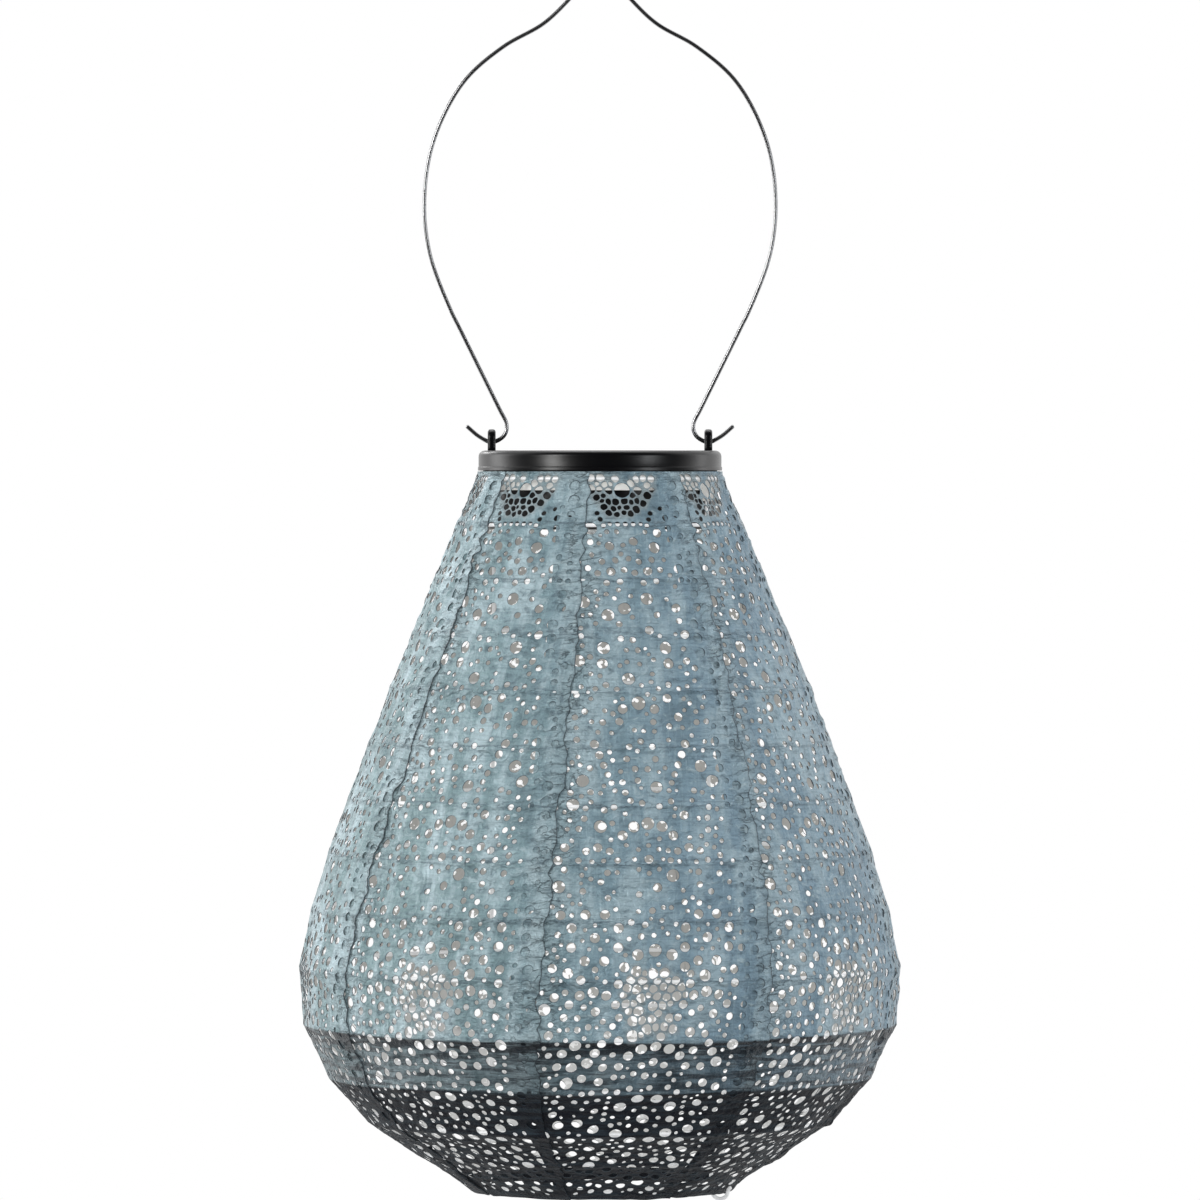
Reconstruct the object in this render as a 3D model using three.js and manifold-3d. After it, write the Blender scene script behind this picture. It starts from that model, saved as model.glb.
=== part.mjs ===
// Solar hanging lantern: a round solar cap on a wire bail, over a fabric shade on wire hoops.
// Millimetres, +Z up. The origin is the place on the bail that rests on the hook it hangs from.
// The bail swings about X. An azimuth turns from -Y towards +X, and a depth is measured down
// from the lower edge of the cap.

import * as THREE from 'three';
import { mergeVertices } from 'three/addons/utils/BufferGeometryUtils.js';
import Module from 'manifold-3d';

const wasm = await Module();
wasm.setup();

// Clearances
const GAP = 0.3;                    // between two pieces that touch
const EYE_CLEARANCE = 0.65;         // round the bail in the eye of an ear
const TOOL_MARGIN = 1;              // how far a cutting tool runs past the face that it cuts

// Bail
const BAIL_WIRE_RADIUS = 1.0;
const BAIL_HEIGHT = 218.4;          // from the eyes to the middle of the wire at the apex
const BAIL_WIDTH = 162.8;           // at its widest, between the middles of the wire
const BAIL_FOOT = [[11.8, 7.6], [5.7, 2.5], [0, 0], [-5.0, 2.3], [-6.8, 5.5], [-6.7, 9.0]];
const BAIL_ARM_SHARES = [0.12, 0.5, 0.88];
const BAIL_BOW_SHARES = [           // of its half width and its height
  [0.848, 0.278], [0.966, 0.395], [1, 0.507], [0.95, 0.635], [0.78, 0.762],
  [0.552, 0.838], [0.32, 0.888], [0.173, 0.94], [0.07, 0.985],
];

// Cap
const CAP_RADIUS = 56.6;
const CAP_HEIGHT = 9.3;
const CAP_WALL = 2.0;
const CAP_PLATE = 4.4;              // thickness of its top
const CAP_LIP_OUT = 0.3;
const CAP_LIP_HEIGHT = 1.4;
const CAP_BEVEL_WIDTH = 3.0;
const CAP_BEVEL_HEIGHT = 2.8;
const EAR_SPACING = 100.4;          // between the middles of the two ears
const EAR_THICKNESS = 3.7;
const EAR_WIDTH = 8.0;
const EAR_HEIGHT = 9.9;
const EAR_FLARE = 0.7;              // at its foot
const EYE_HEIGHT = 3.9;             // from the cap's top to the middle of the eye

// Solar panel
const PANEL_SIDE = 61.4;
const PANEL_THICKNESS = 2.2;
const PANEL_CORNER = 3.0;
const PANEL_SUNK = 0.1;             // how far its face lies under the cap's top
const LEAD_RADIUS = 0.6;
const LEAD_SPACING = 2.6;
const LEAD_HOLE_RADIUS = 2.8;

// Spacer ring and its seal, between the cap and the drum
const SPACER_RADIUS = 50.6;
const SPACER_WALL = 2.0;
const SPACER_FOOT = 4.1;            // how far it stands in the drum
const SEAL_THICKNESS = 1.2;

// Battery drum
const DRUM_RADIUS = 53.0;
const DRUM_TOP_DEPTH = 7.9;
const DRUM_BOTTOM_DEPTH = 27.0;
const DRUM_FLOOR = 2.4;
const DRUM_WALL = 3.6;
const DRUM_BEVEL = 1.0;

// Screws that clamp the drum, the spacer and the cap together
const SCREW_RADIUS = 1.4;
const SCREW_LENGTH = 12.0;
const SCREW_HEAD_RADIUS = 2.8;
const SCREW_HEAD_HEIGHT = 2.0;
const SCREW_SLOT_WIDTH = 0.8;
const SCREW_CIRCLE_RADIUS = 41.0;
const SCREW_AZIMUTHS = [70, -70, 180];
const CAP_BOSS_RADIUS = 3.4;
const CAP_BOSS_END_DEPTH = 9.7;
const DRUM_BOSS_WALL = 1.3;
const SCREW_SEAT_DEPTH = 14.0;

// Cell, its bay and contacts
const CELL_RADIUS = 5.25;
const CELL_LENGTH = 44.5;
const CELL_NUB_RADIUS = 1.9;
const CELL_NUB_LENGTH = 0.9;
const CELL_Y = -30.0;
const BAY_SIDE_PLAY = 0.5;
const BAY_WALL = 1.6;
const SPRING_LENGTH = 6.4;
const SPRING_TURNS = 4;
const SPRING_WIRE_RADIUS = 0.35;
const SPRING_WIDE_RADIUS = 3.9;
const SPRING_NARROW_RADIUS = 1.8;
const CONTACT_THICKNESS = 0.5;
const CONTACT_SIDE = 8.5;

// Battery door
const DOOR_THICKNESS = 1.5;
const DOOR_LEDGE = 0.8;
const DOOR_HOOK_X = 10.0;
const DOOR_HOOK_WIDTH = 6.0;
const DOOR_HOOK_THICKNESS = 1.0;
const DOOR_HOOK_REACH = 1.2;        // past the door's edge
const DOOR_HOOK_INSET = 0.8;        // of its neck from the door's edge
const DOOR_NOTCH_ROOM = 0.5;
const DOOR_GRIP_WIDTH = 12.0;
const DOOR_GRIP_LENGTH = 2.0;
const DOOR_GRIP_DEPTH = 0.6;

// Board, light source and lens
const BOARD_SIZE = [44, 30, 1.6];
const BOARD_Y = 4.0;
const BOARD_DEPTH = 17.0;
const BOARD_POST_RADIUS = 2.0;
const BOARD_POST_INSET = 3.5;
const LED_RADIUS = 2.5;
const LED_RIM_RADIUS = 2.9;
const LED_RIM_HEIGHT = 1.0;
const LED_LENGTH = 8.6;
const LENS_RADIUS = 6.7;
const LENS_WALL = 1.2;
const LENS_RIM = 1.6;
const LENS_DROP = 4.0;              // under the drum's floor

// Slide switch
const SWITCH_Y = 30.0;
const SWITCH_SIZE = [14.6, 7.0, 5.0];
const SLIDER_TRAVEL = 4.0;
const SLIDER_FOOT = [6.0, 3.8, 2.2];
const SLIDER_KNOB = [3.0, 2.2];
const SLIDER_OUT = 1.6;             // under the drum's floor

// Shade
const GORES = 8;
const FACETS_PER_GORE = 4;
const FIRST_SEAM = -12.8;           // azimuth of the seam that is nearest to -Y
const FABRIC = 0.6;
const SHADE_RADIUS = 140.2;         // at its widest
const SHADE_WIDEST_DEPTH = 236.0;
const SHADE_MOUTH_RADIUS = 60.5;
const SHADE_DEPTH = 333.6;
const SHADE_UPPER_SHARES = [        // of the way out and down, from the top to the widest place
  [0.248, 0.209], [0.490, 0.419], [0.717, 0.633], [0.902, 0.825],
];
const SHADE_LOWER_SHARES = [        // of the way out from the mouth, and down to it
  [0.936, 0.287], [0.724, 0.572], [0.445, 0.762], [0.151, 0.904],
];
const HOOPS = 13;
const HOOP_WIRE_RADIUS = 0.75;
const TOP_HOOP_ALONG = 2.0;         // along the fabric, from its upper edge
const FIRST_HOOP_ALONG = 24.4;
const MOUTH_HEM = 3.0;              // along the fabric, from the mouth ring to its lower edge
const MOUTH_WIRE_RADIUS = 0.85;
const HALF_OPENING_SHARES = [        // of a facet's width from a crease, and down between two hoops
  [0, 0.25], [0.28, 0.38], [0.28, 0.62], [0, 0.75],
];

// Collar, which carries the shade and plugs into the cap
const COLLAR_PLUG_WALL = 0.6;
const COLLAR_PLUG_HEIGHT = 3.5;
const COLLAR_WALL = 1.0;
const COLLAR_DEPTH = 9.0;
const COLLAR_FLANGE = 1.2;
const COLLAR_INSET = 1.0;           // of its flange from the cap's side
const SOCKET_HEIGHT = 7.0;
const SOCKET_WIDTH = 6.0;
const SOCKET_SKIN = 0.6;
const SOCKET_START = 7.0;

// Spreader legs, from the collar to the mouth ring
const LEG_AZIMUTHS = [63, -117];
const LEG_WIRE_RADIUS = 0.9;
const LEG_HOOK_RADIUS = 4.5;
const LEG_HOOK_DROP = 0.9;
const LEG_HOOK_OUT = 0.3;
const LEG_TIP = [1.2, 1.2];         // outwards and up, past the hook's round

// Facets
const ROUND_FACETS = 56;
const BOSS_FACETS = 14;
const SMALL_FACETS = 12;
const EYE_FACETS = 16;
const BAIL_SIDES = 8;
const WIRE_SIDES = 6;
const HOOP_SIDES = 4;

// Places that follow from the sizes
const SHADE_FACETS = GORES * FACETS_PER_GORE;
const EYE_Z = -(BAIL_HEIGHT - BAIL_WIRE_RADIUS);
const CAP_Z = EYE_Z - EYE_HEIGHT - CAP_HEIGHT;
const PLATE_UNDER = CAP_HEIGHT - CAP_PLATE;
const POCKET_DEPTH = PANEL_THICKNESS + PANEL_SUNK + GAP;
const FLOOR_TOP = DRUM_FLOOR - DRUM_BOTTOM_DEPTH;
const DRUM_BOTTOM = -DRUM_BOTTOM_DEPTH;
const LEDGE_Z = -(DRUM_TOP_DEPTH + SPACER_FOOT + GAP);
const DOOR_TOP = DRUM_BOTTOM + DOOR_THICKNESS;
const REBATE_TOP = DOOR_TOP + GAP;
const BAY_HALF_WIDTH = CELL_RADIUS + BAY_SIDE_PLAY;
const BAY_LENGTH = CELL_LENGTH + SPRING_LENGTH + CONTACT_THICKNESS + 4 * GAP;
const CELL_Z = FLOOR_TOP + GAP + CELL_RADIUS;
const BAY_TOP = CELL_Z + CELL_RADIUS + GAP;
const DOOR_HINGE_Y = CELL_Y + BAY_HALF_WIDTH + DOOR_LEDGE - GAP;
const CAP_INNER = CAP_RADIUS - CAP_WALL;
const PLUG_RADIUS = CAP_INNER - GAP;
const COLLAR_INNER = PLUG_RADIUS - COLLAR_PLUG_WALL;
const COLLAR_OUTER = COLLAR_INNER + COLLAR_WALL;
const TOP_HOOP_RADIUS = COLLAR_OUTER + GAP + HOOP_WIRE_RADIUS;
const SHADE_TOP_RADIUS = TOP_HOOP_RADIUS + HOOP_WIRE_RADIUS + GAP;
const SHADE_TOP_DEPTH = GAP + COLLAR_FLANGE + GAP;
const SOCKET_RADIUS = COLLAR_INNER + SOCKET_SKIN + LEG_WIRE_RADIUS + GAP;

// Solids

// The geometry as one closed mesh whose neighbours share their vertices, with its faces out.
function closed(geometry) {
  const bare = geometry.clone();
  bare.deleteAttribute('normal');
  bare.deleteAttribute('uv');
  const merged = mergeVertices(bare, 1e-4);
  const from = merged.index.array;
  const kept = [];
  for (let i = 0; i < from.length; i += 3) {
    const [a, b, c] = [from[i], from[i + 1], from[i + 2]];
    if (a !== b && b !== c && c !== a) {
      kept.push(a, b, c);
    }
  }
  merged.setIndex(kept);
  return volumeOf(merged) < 0 ? flipped(merged) : merged;
}

function volumeOf(geometry) {
  const position = geometry.attributes.position;
  const index = geometry.index.array;
  const [a, b, c] = [new THREE.Vector3(), new THREE.Vector3(), new THREE.Vector3()];
  let volume = 0;
  for (let i = 0; i < index.length; i += 3) {
    a.fromBufferAttribute(position, index[i]);
    b.fromBufferAttribute(position, index[i + 1]);
    c.fromBufferAttribute(position, index[i + 2]);
    volume += a.dot(b.cross(c)) / 6;
  }
  return volume;
}

function flipped(geometry) {
  const index = geometry.index.array;
  for (let i = 0; i < index.length; i += 3) {
    [index[i], index[i + 1]] = [index[i + 1], index[i]];
  }
  return geometry;
}

function toManifold(geometry) {
  const mesh = closed(geometry);
  return new wasm.Manifold(new wasm.Mesh({
    numProp: 3,
    vertProperties: new Float32Array(mesh.attributes.position.array),
    triVerts: new Uint32Array(mesh.index.array),
  }));
}

function toGeometry(manifold) {
  const mesh = manifold.getMesh();
  const geometry = new THREE.BufferGeometry();
  geometry.setAttribute('position', new THREE.BufferAttribute(mesh.vertProperties, 3));
  geometry.setIndex(new THREE.BufferAttribute(mesh.triVerts, 1));
  return geometry;
}

function join(first, ...others) {
  return toGeometry(others.reduce((sum, next) => sum.add(toManifold(next)), toManifold(first)));
}

function cut(body, ...tools) {
  return toGeometry(tools.reduce((left, next) => left.subtract(toManifold(next)), toManifold(body)));
}

// Plain shapes, with Z up

function turned(profile, facets, firstAzimuth = 0) {
  const points = profile.map(([radius, z]) => new THREE.Vector2(radius, z));
  const start = THREE.MathUtils.degToRad(firstAzimuth);
  return new THREE.LatheGeometry(points, facets, start).rotateX(Math.PI / 2);
}

function ringProfile(inner, outer, bottom, top) {
  return [[inner, bottom], [outer, bottom], [outer, top], [inner, top], [inner, bottom]];
}

function disc(radius, bottom, top, facets) {
  return turned([[0, bottom], [radius, bottom], [radius, top], [0, top]], facets);
}

function box(x, y, z) {
  const geometry = new THREE.BoxGeometry(x[1] - x[0], y[1] - y[0], z[1] - z[0]);
  return geometry.translate((x[0] + x[1]) / 2, (y[0] + y[1]) / 2, (z[0] + z[1]) / 2);
}

function centredBox(width, length, bottom, top) {
  return box([-width / 2, width / 2], [-length / 2, length / 2], [bottom, top]);
}

function roundedPlate(side, corner, bottom, top) {
  const half = side / 2;
  const shape = new THREE.Shape();
  shape.moveTo(-half + corner, -half);
  shape.absarc(half - corner, -half + corner, corner, -Math.PI / 2, 0);
  shape.absarc(half - corner, half - corner, corner, 0, Math.PI / 2);
  shape.absarc(-half + corner, half - corner, corner, Math.PI / 2, Math.PI);
  shape.absarc(-half + corner, -half + corner, corner, Math.PI, 1.5 * Math.PI);
  const options = { depth: top - bottom, bevelEnabled: false, curveSegments: 4 };
  return new THREE.ExtrudeGeometry(shape, options).translate(0, 0, bottom);
}

// A point at a radius, an azimuth in degrees and a height.
function polar(radius, azimuth, z = 0) {
  const angle = THREE.MathUtils.degToRad(azimuth);
  return new THREE.Vector3(radius * Math.sin(angle), -radius * Math.cos(angle), z);
}

function movedTo(geometry, place) {
  return geometry.translate(place.x, place.y, place.z);
}

// A smooth path with as many steps between each two of its points, however far apart they are.
class WirePath extends THREE.CatmullRomCurve3 {
  constructor(points) {
    super(points, false, 'centripetal');
  }

  getUtoTmapping(u) {
    return u;
  }
}

function wire(points, radius, sides, stepsPerSpan) {
  const section = Array.from({ length: sides }, (_, i) => {
    const angle = (2 * Math.PI * i) / sides;
    return new THREE.Vector2(radius * Math.cos(angle), radius * Math.sin(angle));
  });
  return new THREE.ExtrudeGeometry(new THREE.Shape(section), {
    steps: stepsPerSpan * (points.length - 1),
    extrudePath: new WirePath(points),
    bevelEnabled: false,
  });
}

function wireHoop(radius, z, wireRadius, sides) {
  const profile = Array.from({ length: sides + 1 }, (_, i) => {
    const angle = (2 * Math.PI * (i % sides)) / sides;
    return [radius + wireRadius * Math.cos(angle), z + wireRadius * Math.sin(angle)];
  });
  return turned(profile, SHADE_FACETS, FIRST_SEAM);
}

// Materials

function material(color, roughness, metalness = 0) {
  return new THREE.MeshStandardMaterial({ color, roughness, metalness });
}

const steelLook = () => material(0xb4b8bc, 0.25, 1);
const blackPlasticLook = () => material(0x14161a, 0.42);
const whitePlasticLook = () => material(0xe9e9e4, 0.5);
const rubberLook = () => material(0x1c1c1e, 0.85);
const fabricLook = () => material(0x8da2ae, 0.55);
const panelLook = () => material(0x10182c, 0.12);
const boardLook = () => material(0x1d5a34, 0.5);
const clearLook = () => material(0xe8eef0, 0.08);
const cellLook = () => material(0x5f8f62, 0.4);
const tinLook = () => material(0xc9c7bf, 0.3, 1);

function piece(name, geometry, look) {
  const mesh = new THREE.Mesh(closed(geometry), look);
  mesh.name = name;
  return mesh;
}

// Bail

function bail() {
  const foot = BAIL_FOOT.map(([out, up]) => new THREE.Vector3(EAR_SPACING / 2 + out, 0, up));
  const bow = BAIL_BOW_SHARES.map(([x, z]) => new THREE.Vector3((x * BAIL_WIDTH) / 2, 0, z * BAIL_HEIGHT));
  const bend = foot[foot.length - 1];
  const arm = BAIL_ARM_SHARES.map((share) => bend.clone().lerp(bow[0], share));
  const right = [...foot, ...arm, ...bow];
  const apex = new THREE.Vector3(0, 0, BAIL_HEIGHT);
  const left = right.map((point) => new THREE.Vector3(-point.x, 0, point.z)).reverse();
  const geometry = wire([...right, apex, ...left], BAIL_WIRE_RADIUS, BAIL_SIDES, 3);
  const mesh = piece('bail', geometry, steelLook());
  mesh.position.z = EYE_Z;
  return mesh;
}

// Cap, with its origin in the middle of its lower edge

function capProfile() {
  const side = CAP_RADIUS - CAP_LIP_OUT;
  const bevel = [0, 30, 60, 90].map((degrees) => {
    const angle = THREE.MathUtils.degToRad(degrees);
    const radius = side - CAP_BEVEL_WIDTH * (1 - Math.cos(angle));
    return [radius, CAP_HEIGHT - CAP_BEVEL_HEIGHT * (1 - Math.sin(angle))];
  });
  return [
    [0, PLATE_UNDER],
    [CAP_INNER, PLATE_UNDER],
    [CAP_INNER, 0],
    [CAP_RADIUS, 0],
    [CAP_RADIUS, CAP_LIP_HEIGHT],
    [side, CAP_LIP_HEIGHT + CAP_LIP_OUT],
    ...bevel,
    [0, CAP_HEIGHT],
  ];
}

function ear(side) {
  const half = EAR_WIDTH / 2;
  const root = -CAP_PLATE / 4;
  const flare = EAR_FLARE;
  const shape = new THREE.Shape();
  shape.moveTo(-half - flare, root);
  shape.lineTo(half + flare, root);
  shape.lineTo(half + flare, 0);
  shape.lineTo(half, flare);
  shape.absarc(0, EAR_HEIGHT - half, half, 0, Math.PI);
  shape.lineTo(-half, flare);
  shape.lineTo(-half - flare, 0);
  const plate = new THREE.ExtrudeGeometry(shape, {
    depth: EAR_THICKNESS,
    bevelEnabled: false,
    curveSegments: 8,
  });
  plate.translate(0, 0, -EAR_THICKNESS / 2);
  plate.rotateX(Math.PI / 2).rotateZ(Math.PI / 2);
  return plate.translate((side * EAR_SPACING) / 2, 0, CAP_HEIGHT);
}

function eyeBore() {
  const half = EAR_SPACING / 2 + EAR_THICKNESS;
  const bore = disc(BAIL_WIRE_RADIUS + EYE_CLEARANCE, -half, half, EYE_FACETS);
  return bore.rotateY(Math.PI / 2).translate(0, 0, CAP_HEIGHT + EYE_HEIGHT);
}

function capHousing() {
  const bossRoot = PLATE_UNDER + TOOL_MARGIN;
  const bosses = SCREW_AZIMUTHS.map((azimuth) => {
    const boss = disc(CAP_BOSS_RADIUS, -CAP_BOSS_END_DEPTH, bossRoot, BOSS_FACETS);
    return movedTo(boss, polar(SCREW_CIRCLE_RADIUS, azimuth));
  });
  const boreTop = SCREW_LENGTH - SCREW_SEAT_DEPTH;
  const bores = SCREW_AZIMUTHS.map((azimuth) => {
    const boreBottom = -CAP_BOSS_END_DEPTH - TOOL_MARGIN;
    const bore = disc(SCREW_RADIUS + GAP, boreBottom, boreTop, SMALL_FACETS);
    return movedTo(bore, polar(SCREW_CIRCLE_RADIUS, azimuth));
  });
  const pocketTop = CAP_HEIGHT + TOOL_MARGIN;
  const pocketSide = PANEL_SIDE + 2 * GAP;
  const pocket = roundedPlate(pocketSide, PANEL_CORNER, CAP_HEIGHT - POCKET_DEPTH, pocketTop);
  const leadHole = disc(LEAD_HOLE_RADIUS, PLATE_UNDER - TOOL_MARGIN, CAP_HEIGHT, SMALL_FACETS);
  const body = join(turned(capProfile(), ROUND_FACETS), ear(1), ear(-1), ...bosses);
  return piece('cap_housing', cut(body, eyeBore(), pocket, leadHole, ...bores), blackPlasticLook());
}

function solarPanel() {
  const top = CAP_HEIGHT - PANEL_SUNK;
  const plate = roundedPlate(PANEL_SIDE, PANEL_CORNER, top - PANEL_THICKNESS, top);
  return piece('solar_panel', plate, panelLook());
}

function panelLead(name, side, color) {
  const top = CAP_HEIGHT - PANEL_SUNK - PANEL_THICKNESS - GAP;
  const bottom = -BOARD_DEPTH + GAP;
  const x = (side * LEAD_SPACING) / 2;
  const heights = [1, 0.75, 0.25, 0];
  const bulge = [0, 1.5, 1.5, 0];
  const points = heights.map((share, i) => {
    return new THREE.Vector3(x * (1 + bulge[i]), 0, bottom + share * (top - bottom));
  });
  return piece(name, wire(points, LEAD_RADIUS, WIRE_SIDES, 3), material(color, 0.5));
}

function capSeal() {
  const inner = SPACER_RADIUS - SPACER_WALL;
  const top = PLATE_UNDER - GAP;
  const profile = ringProfile(inner, SPACER_RADIUS, top - SEAL_THICKNESS, top);
  return piece('cap_seal', turned(profile, ROUND_FACETS), rubberLook());
}

function spacerRing() {
  const inner = SPACER_RADIUS - SPACER_WALL;
  const top = PLATE_UNDER - SEAL_THICKNESS - 2 * GAP;
  const profile = ringProfile(inner, SPACER_RADIUS, LEDGE_Z + GAP, top);
  return piece('spacer_ring', turned(profile, ROUND_FACETS), whitePlasticLook());
}

// Battery drum

function drumProfile() {
  const inner = DRUM_RADIUS - DRUM_WALL;
  const seat = SPACER_RADIUS + GAP;
  return [
    [0, FLOOR_TOP],
    [inner, FLOOR_TOP],
    [inner, LEDGE_Z],
    [seat, LEDGE_Z],
    [seat, -DRUM_TOP_DEPTH],
    [DRUM_RADIUS, -DRUM_TOP_DEPTH],
    [DRUM_RADIUS, DRUM_BOTTOM + DRUM_BEVEL],
    [DRUM_RADIUS - DRUM_BEVEL, DRUM_BOTTOM],
    [0, DRUM_BOTTOM],
  ];
}

function bayBox(wall, bottom, top) {
  const halfLength = BAY_LENGTH / 2 + wall;
  const halfWidth = BAY_HALF_WIDTH + wall;
  return box([-halfLength, halfLength], [CELL_Y - halfWidth, CELL_Y + halfWidth], [bottom, top]);
}

function hookNotch(side) {
  const half = DOOR_HOOK_WIDTH / 2 + GAP;
  const x = side * DOOR_HOOK_X;
  const wallStart = CELL_Y + BAY_HALF_WIDTH - TOOL_MARGIN;
  const wallEnd = CELL_Y + BAY_HALF_WIDTH + BAY_WALL + GAP;
  const top = FLOOR_TOP + GAP + DOOR_HOOK_THICKNESS + DOOR_NOTCH_ROOM;
  return box([x - half, x + half], [wallStart, wallEnd], [FLOOR_TOP, top]);
}

function batteryDrum() {
  const drumBossTop = -CAP_BOSS_END_DEPTH - GAP;
  const bossRadius = SCREW_HEAD_RADIUS + GAP + DRUM_BOSS_WALL;
  const bossRoot = FLOOR_TOP - TOOL_MARGIN;
  const bosses = SCREW_AZIMUTHS.map((azimuth) => {
    const boss = disc(bossRadius, bossRoot, drumBossTop, BOSS_FACETS);
    return movedTo(boss, polar(SCREW_CIRCLE_RADIUS, azimuth));
  });
  const shanks = SCREW_AZIMUTHS.map((azimuth) => {
    const bore = disc(SCREW_RADIUS + GAP, DRUM_BOTTOM, drumBossTop + TOOL_MARGIN, SMALL_FACETS);
    return movedTo(bore, polar(SCREW_CIRCLE_RADIUS, azimuth));
  });
  const heads = SCREW_AZIMUTHS.map((azimuth) => {
    const toolBottom = DRUM_BOTTOM - TOOL_MARGIN;
    const well = disc(SCREW_HEAD_RADIUS + GAP, toolBottom, -SCREW_SEAT_DEPTH, SMALL_FACETS);
    return movedTo(well, polar(SCREW_CIRCLE_RADIUS, azimuth));
  });
  const [boardWidth, boardLength, boardThickness] = BOARD_SIZE;
  const postTop = -BOARD_DEPTH - boardThickness - GAP;
  const postX = boardWidth / 2 - BOARD_POST_INSET;
  const postY = boardLength / 2 - BOARD_POST_INSET;
  const posts = [[1, 1], [1, -1], [-1, 1], [-1, -1]].map(([right, back]) => {
    const post = disc(BOARD_POST_RADIUS, bossRoot, postTop, SMALL_FACETS);
    return post.translate(right * postX, BOARD_Y + back * postY, 0);
  });
  const bayShell = bayBox(BAY_WALL, bossRoot, BAY_TOP + BAY_WALL);
  const bayHollow = bayBox(0, DRUM_BOTTOM - TOOL_MARGIN, BAY_TOP);
  const rebate = bayBox(DOOR_LEDGE, DRUM_BOTTOM - TOOL_MARGIN, REBATE_TOP);
  const lensHole = disc(LENS_RADIUS + GAP, DRUM_BOTTOM - TOOL_MARGIN, FLOOR_TOP + TOOL_MARGIN,
    ROUND_FACETS / 2);
  const [knobLength, knobWidth] = SLIDER_KNOB;
  const switchSlot = centredBox(knobLength + SLIDER_TRAVEL + 2 * GAP, knobWidth + 2 * GAP,
    DRUM_BOTTOM - TOOL_MARGIN, FLOOR_TOP + TOOL_MARGIN).translate(0, SWITCH_Y, 0);
  const body = join(turned(drumProfile(), ROUND_FACETS), bayShell, ...bosses, ...posts);
  const tools = [bayHollow, rebate, hookNotch(1), hookNotch(-1), lensHole, switchSlot];
  return piece('battery_drum', cut(body, ...tools, ...shanks, ...heads), blackPlasticLook());
}

function drumScrew(name, azimuth) {
  const seat = -SCREW_SEAT_DEPTH - GAP;
  const head = seat - SCREW_HEAD_HEIGHT;
  const profile = [
    [0, head],
    [SCREW_HEAD_RADIUS, head],
    [SCREW_HEAD_RADIUS, seat],
    [SCREW_RADIUS, seat],
    [SCREW_RADIUS, seat + SCREW_LENGTH - SCREW_RADIUS],
    [SCREW_RADIUS / 2, seat + SCREW_LENGTH],
    [0, seat + SCREW_LENGTH],
  ];
  const slotLength = 2 * SCREW_HEAD_RADIUS + TOOL_MARGIN;
  const slotTop = head + SCREW_HEAD_HEIGHT / 2;
  const slot = centredBox(slotLength, SCREW_SLOT_WIDTH, head - TOOL_MARGIN, slotTop);
  const mesh = piece(name, cut(turned(profile, SMALL_FACETS), slot), steelLook());
  mesh.position.copy(polar(SCREW_CIRCLE_RADIUS, azimuth));
  return mesh;
}

// Cell and contacts, from -X to +X: spring, cell, contact plate

function cellEnds() {
  const start = -BAY_LENGTH / 2 + GAP + SPRING_LENGTH + GAP;
  return [start, start + CELL_LENGTH];
}

function cell() {
  const [start, end] = cellEnds();
  const shoulder = end - CELL_NUB_LENGTH;
  const profile = [
    [0, start],
    [CELL_RADIUS, start],
    [CELL_RADIUS, shoulder],
    [CELL_NUB_RADIUS, shoulder],
    [CELL_NUB_RADIUS, end],
    [0, end],
  ];
  const geometry = turned(profile, 2 * SMALL_FACETS).rotateY(Math.PI / 2);
  return piece('rechargeable_cell', geometry.translate(0, CELL_Y, CELL_Z), cellLook());
}

function contactPlate() {
  const end = BAY_LENGTH / 2 - GAP;
  const half = CONTACT_SIDE / 2;
  const plate = box([end - CONTACT_THICKNESS, end], [-half, half], [-half, half]);
  return piece('contact_plate', plate.translate(0, CELL_Y, CELL_Z), tinLook());
}

function contactSpring() {
  const start = -BAY_LENGTH / 2 + GAP + SPRING_WIRE_RADIUS;
  const run = SPRING_LENGTH - 2 * SPRING_WIRE_RADIUS;
  const steps = 8 * SPRING_TURNS;
  const points = Array.from({ length: steps + 1 }, (_, i) => {
    const share = i / steps;
    const angle = 2 * Math.PI * SPRING_TURNS * share;
    const radius = THREE.MathUtils.lerp(SPRING_WIDE_RADIUS, SPRING_NARROW_RADIUS, share);
    return new THREE.Vector3(
      start + run * share,
      CELL_Y + radius * Math.cos(angle),
      CELL_Z + radius * Math.sin(angle),
    );
  });
  return piece('contact_spring', wire(points, SPRING_WIRE_RADIUS, HOOP_SIDES, 1), tinLook());
}

// Battery door, which hangs by two hooks on the edge of its opening

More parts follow.
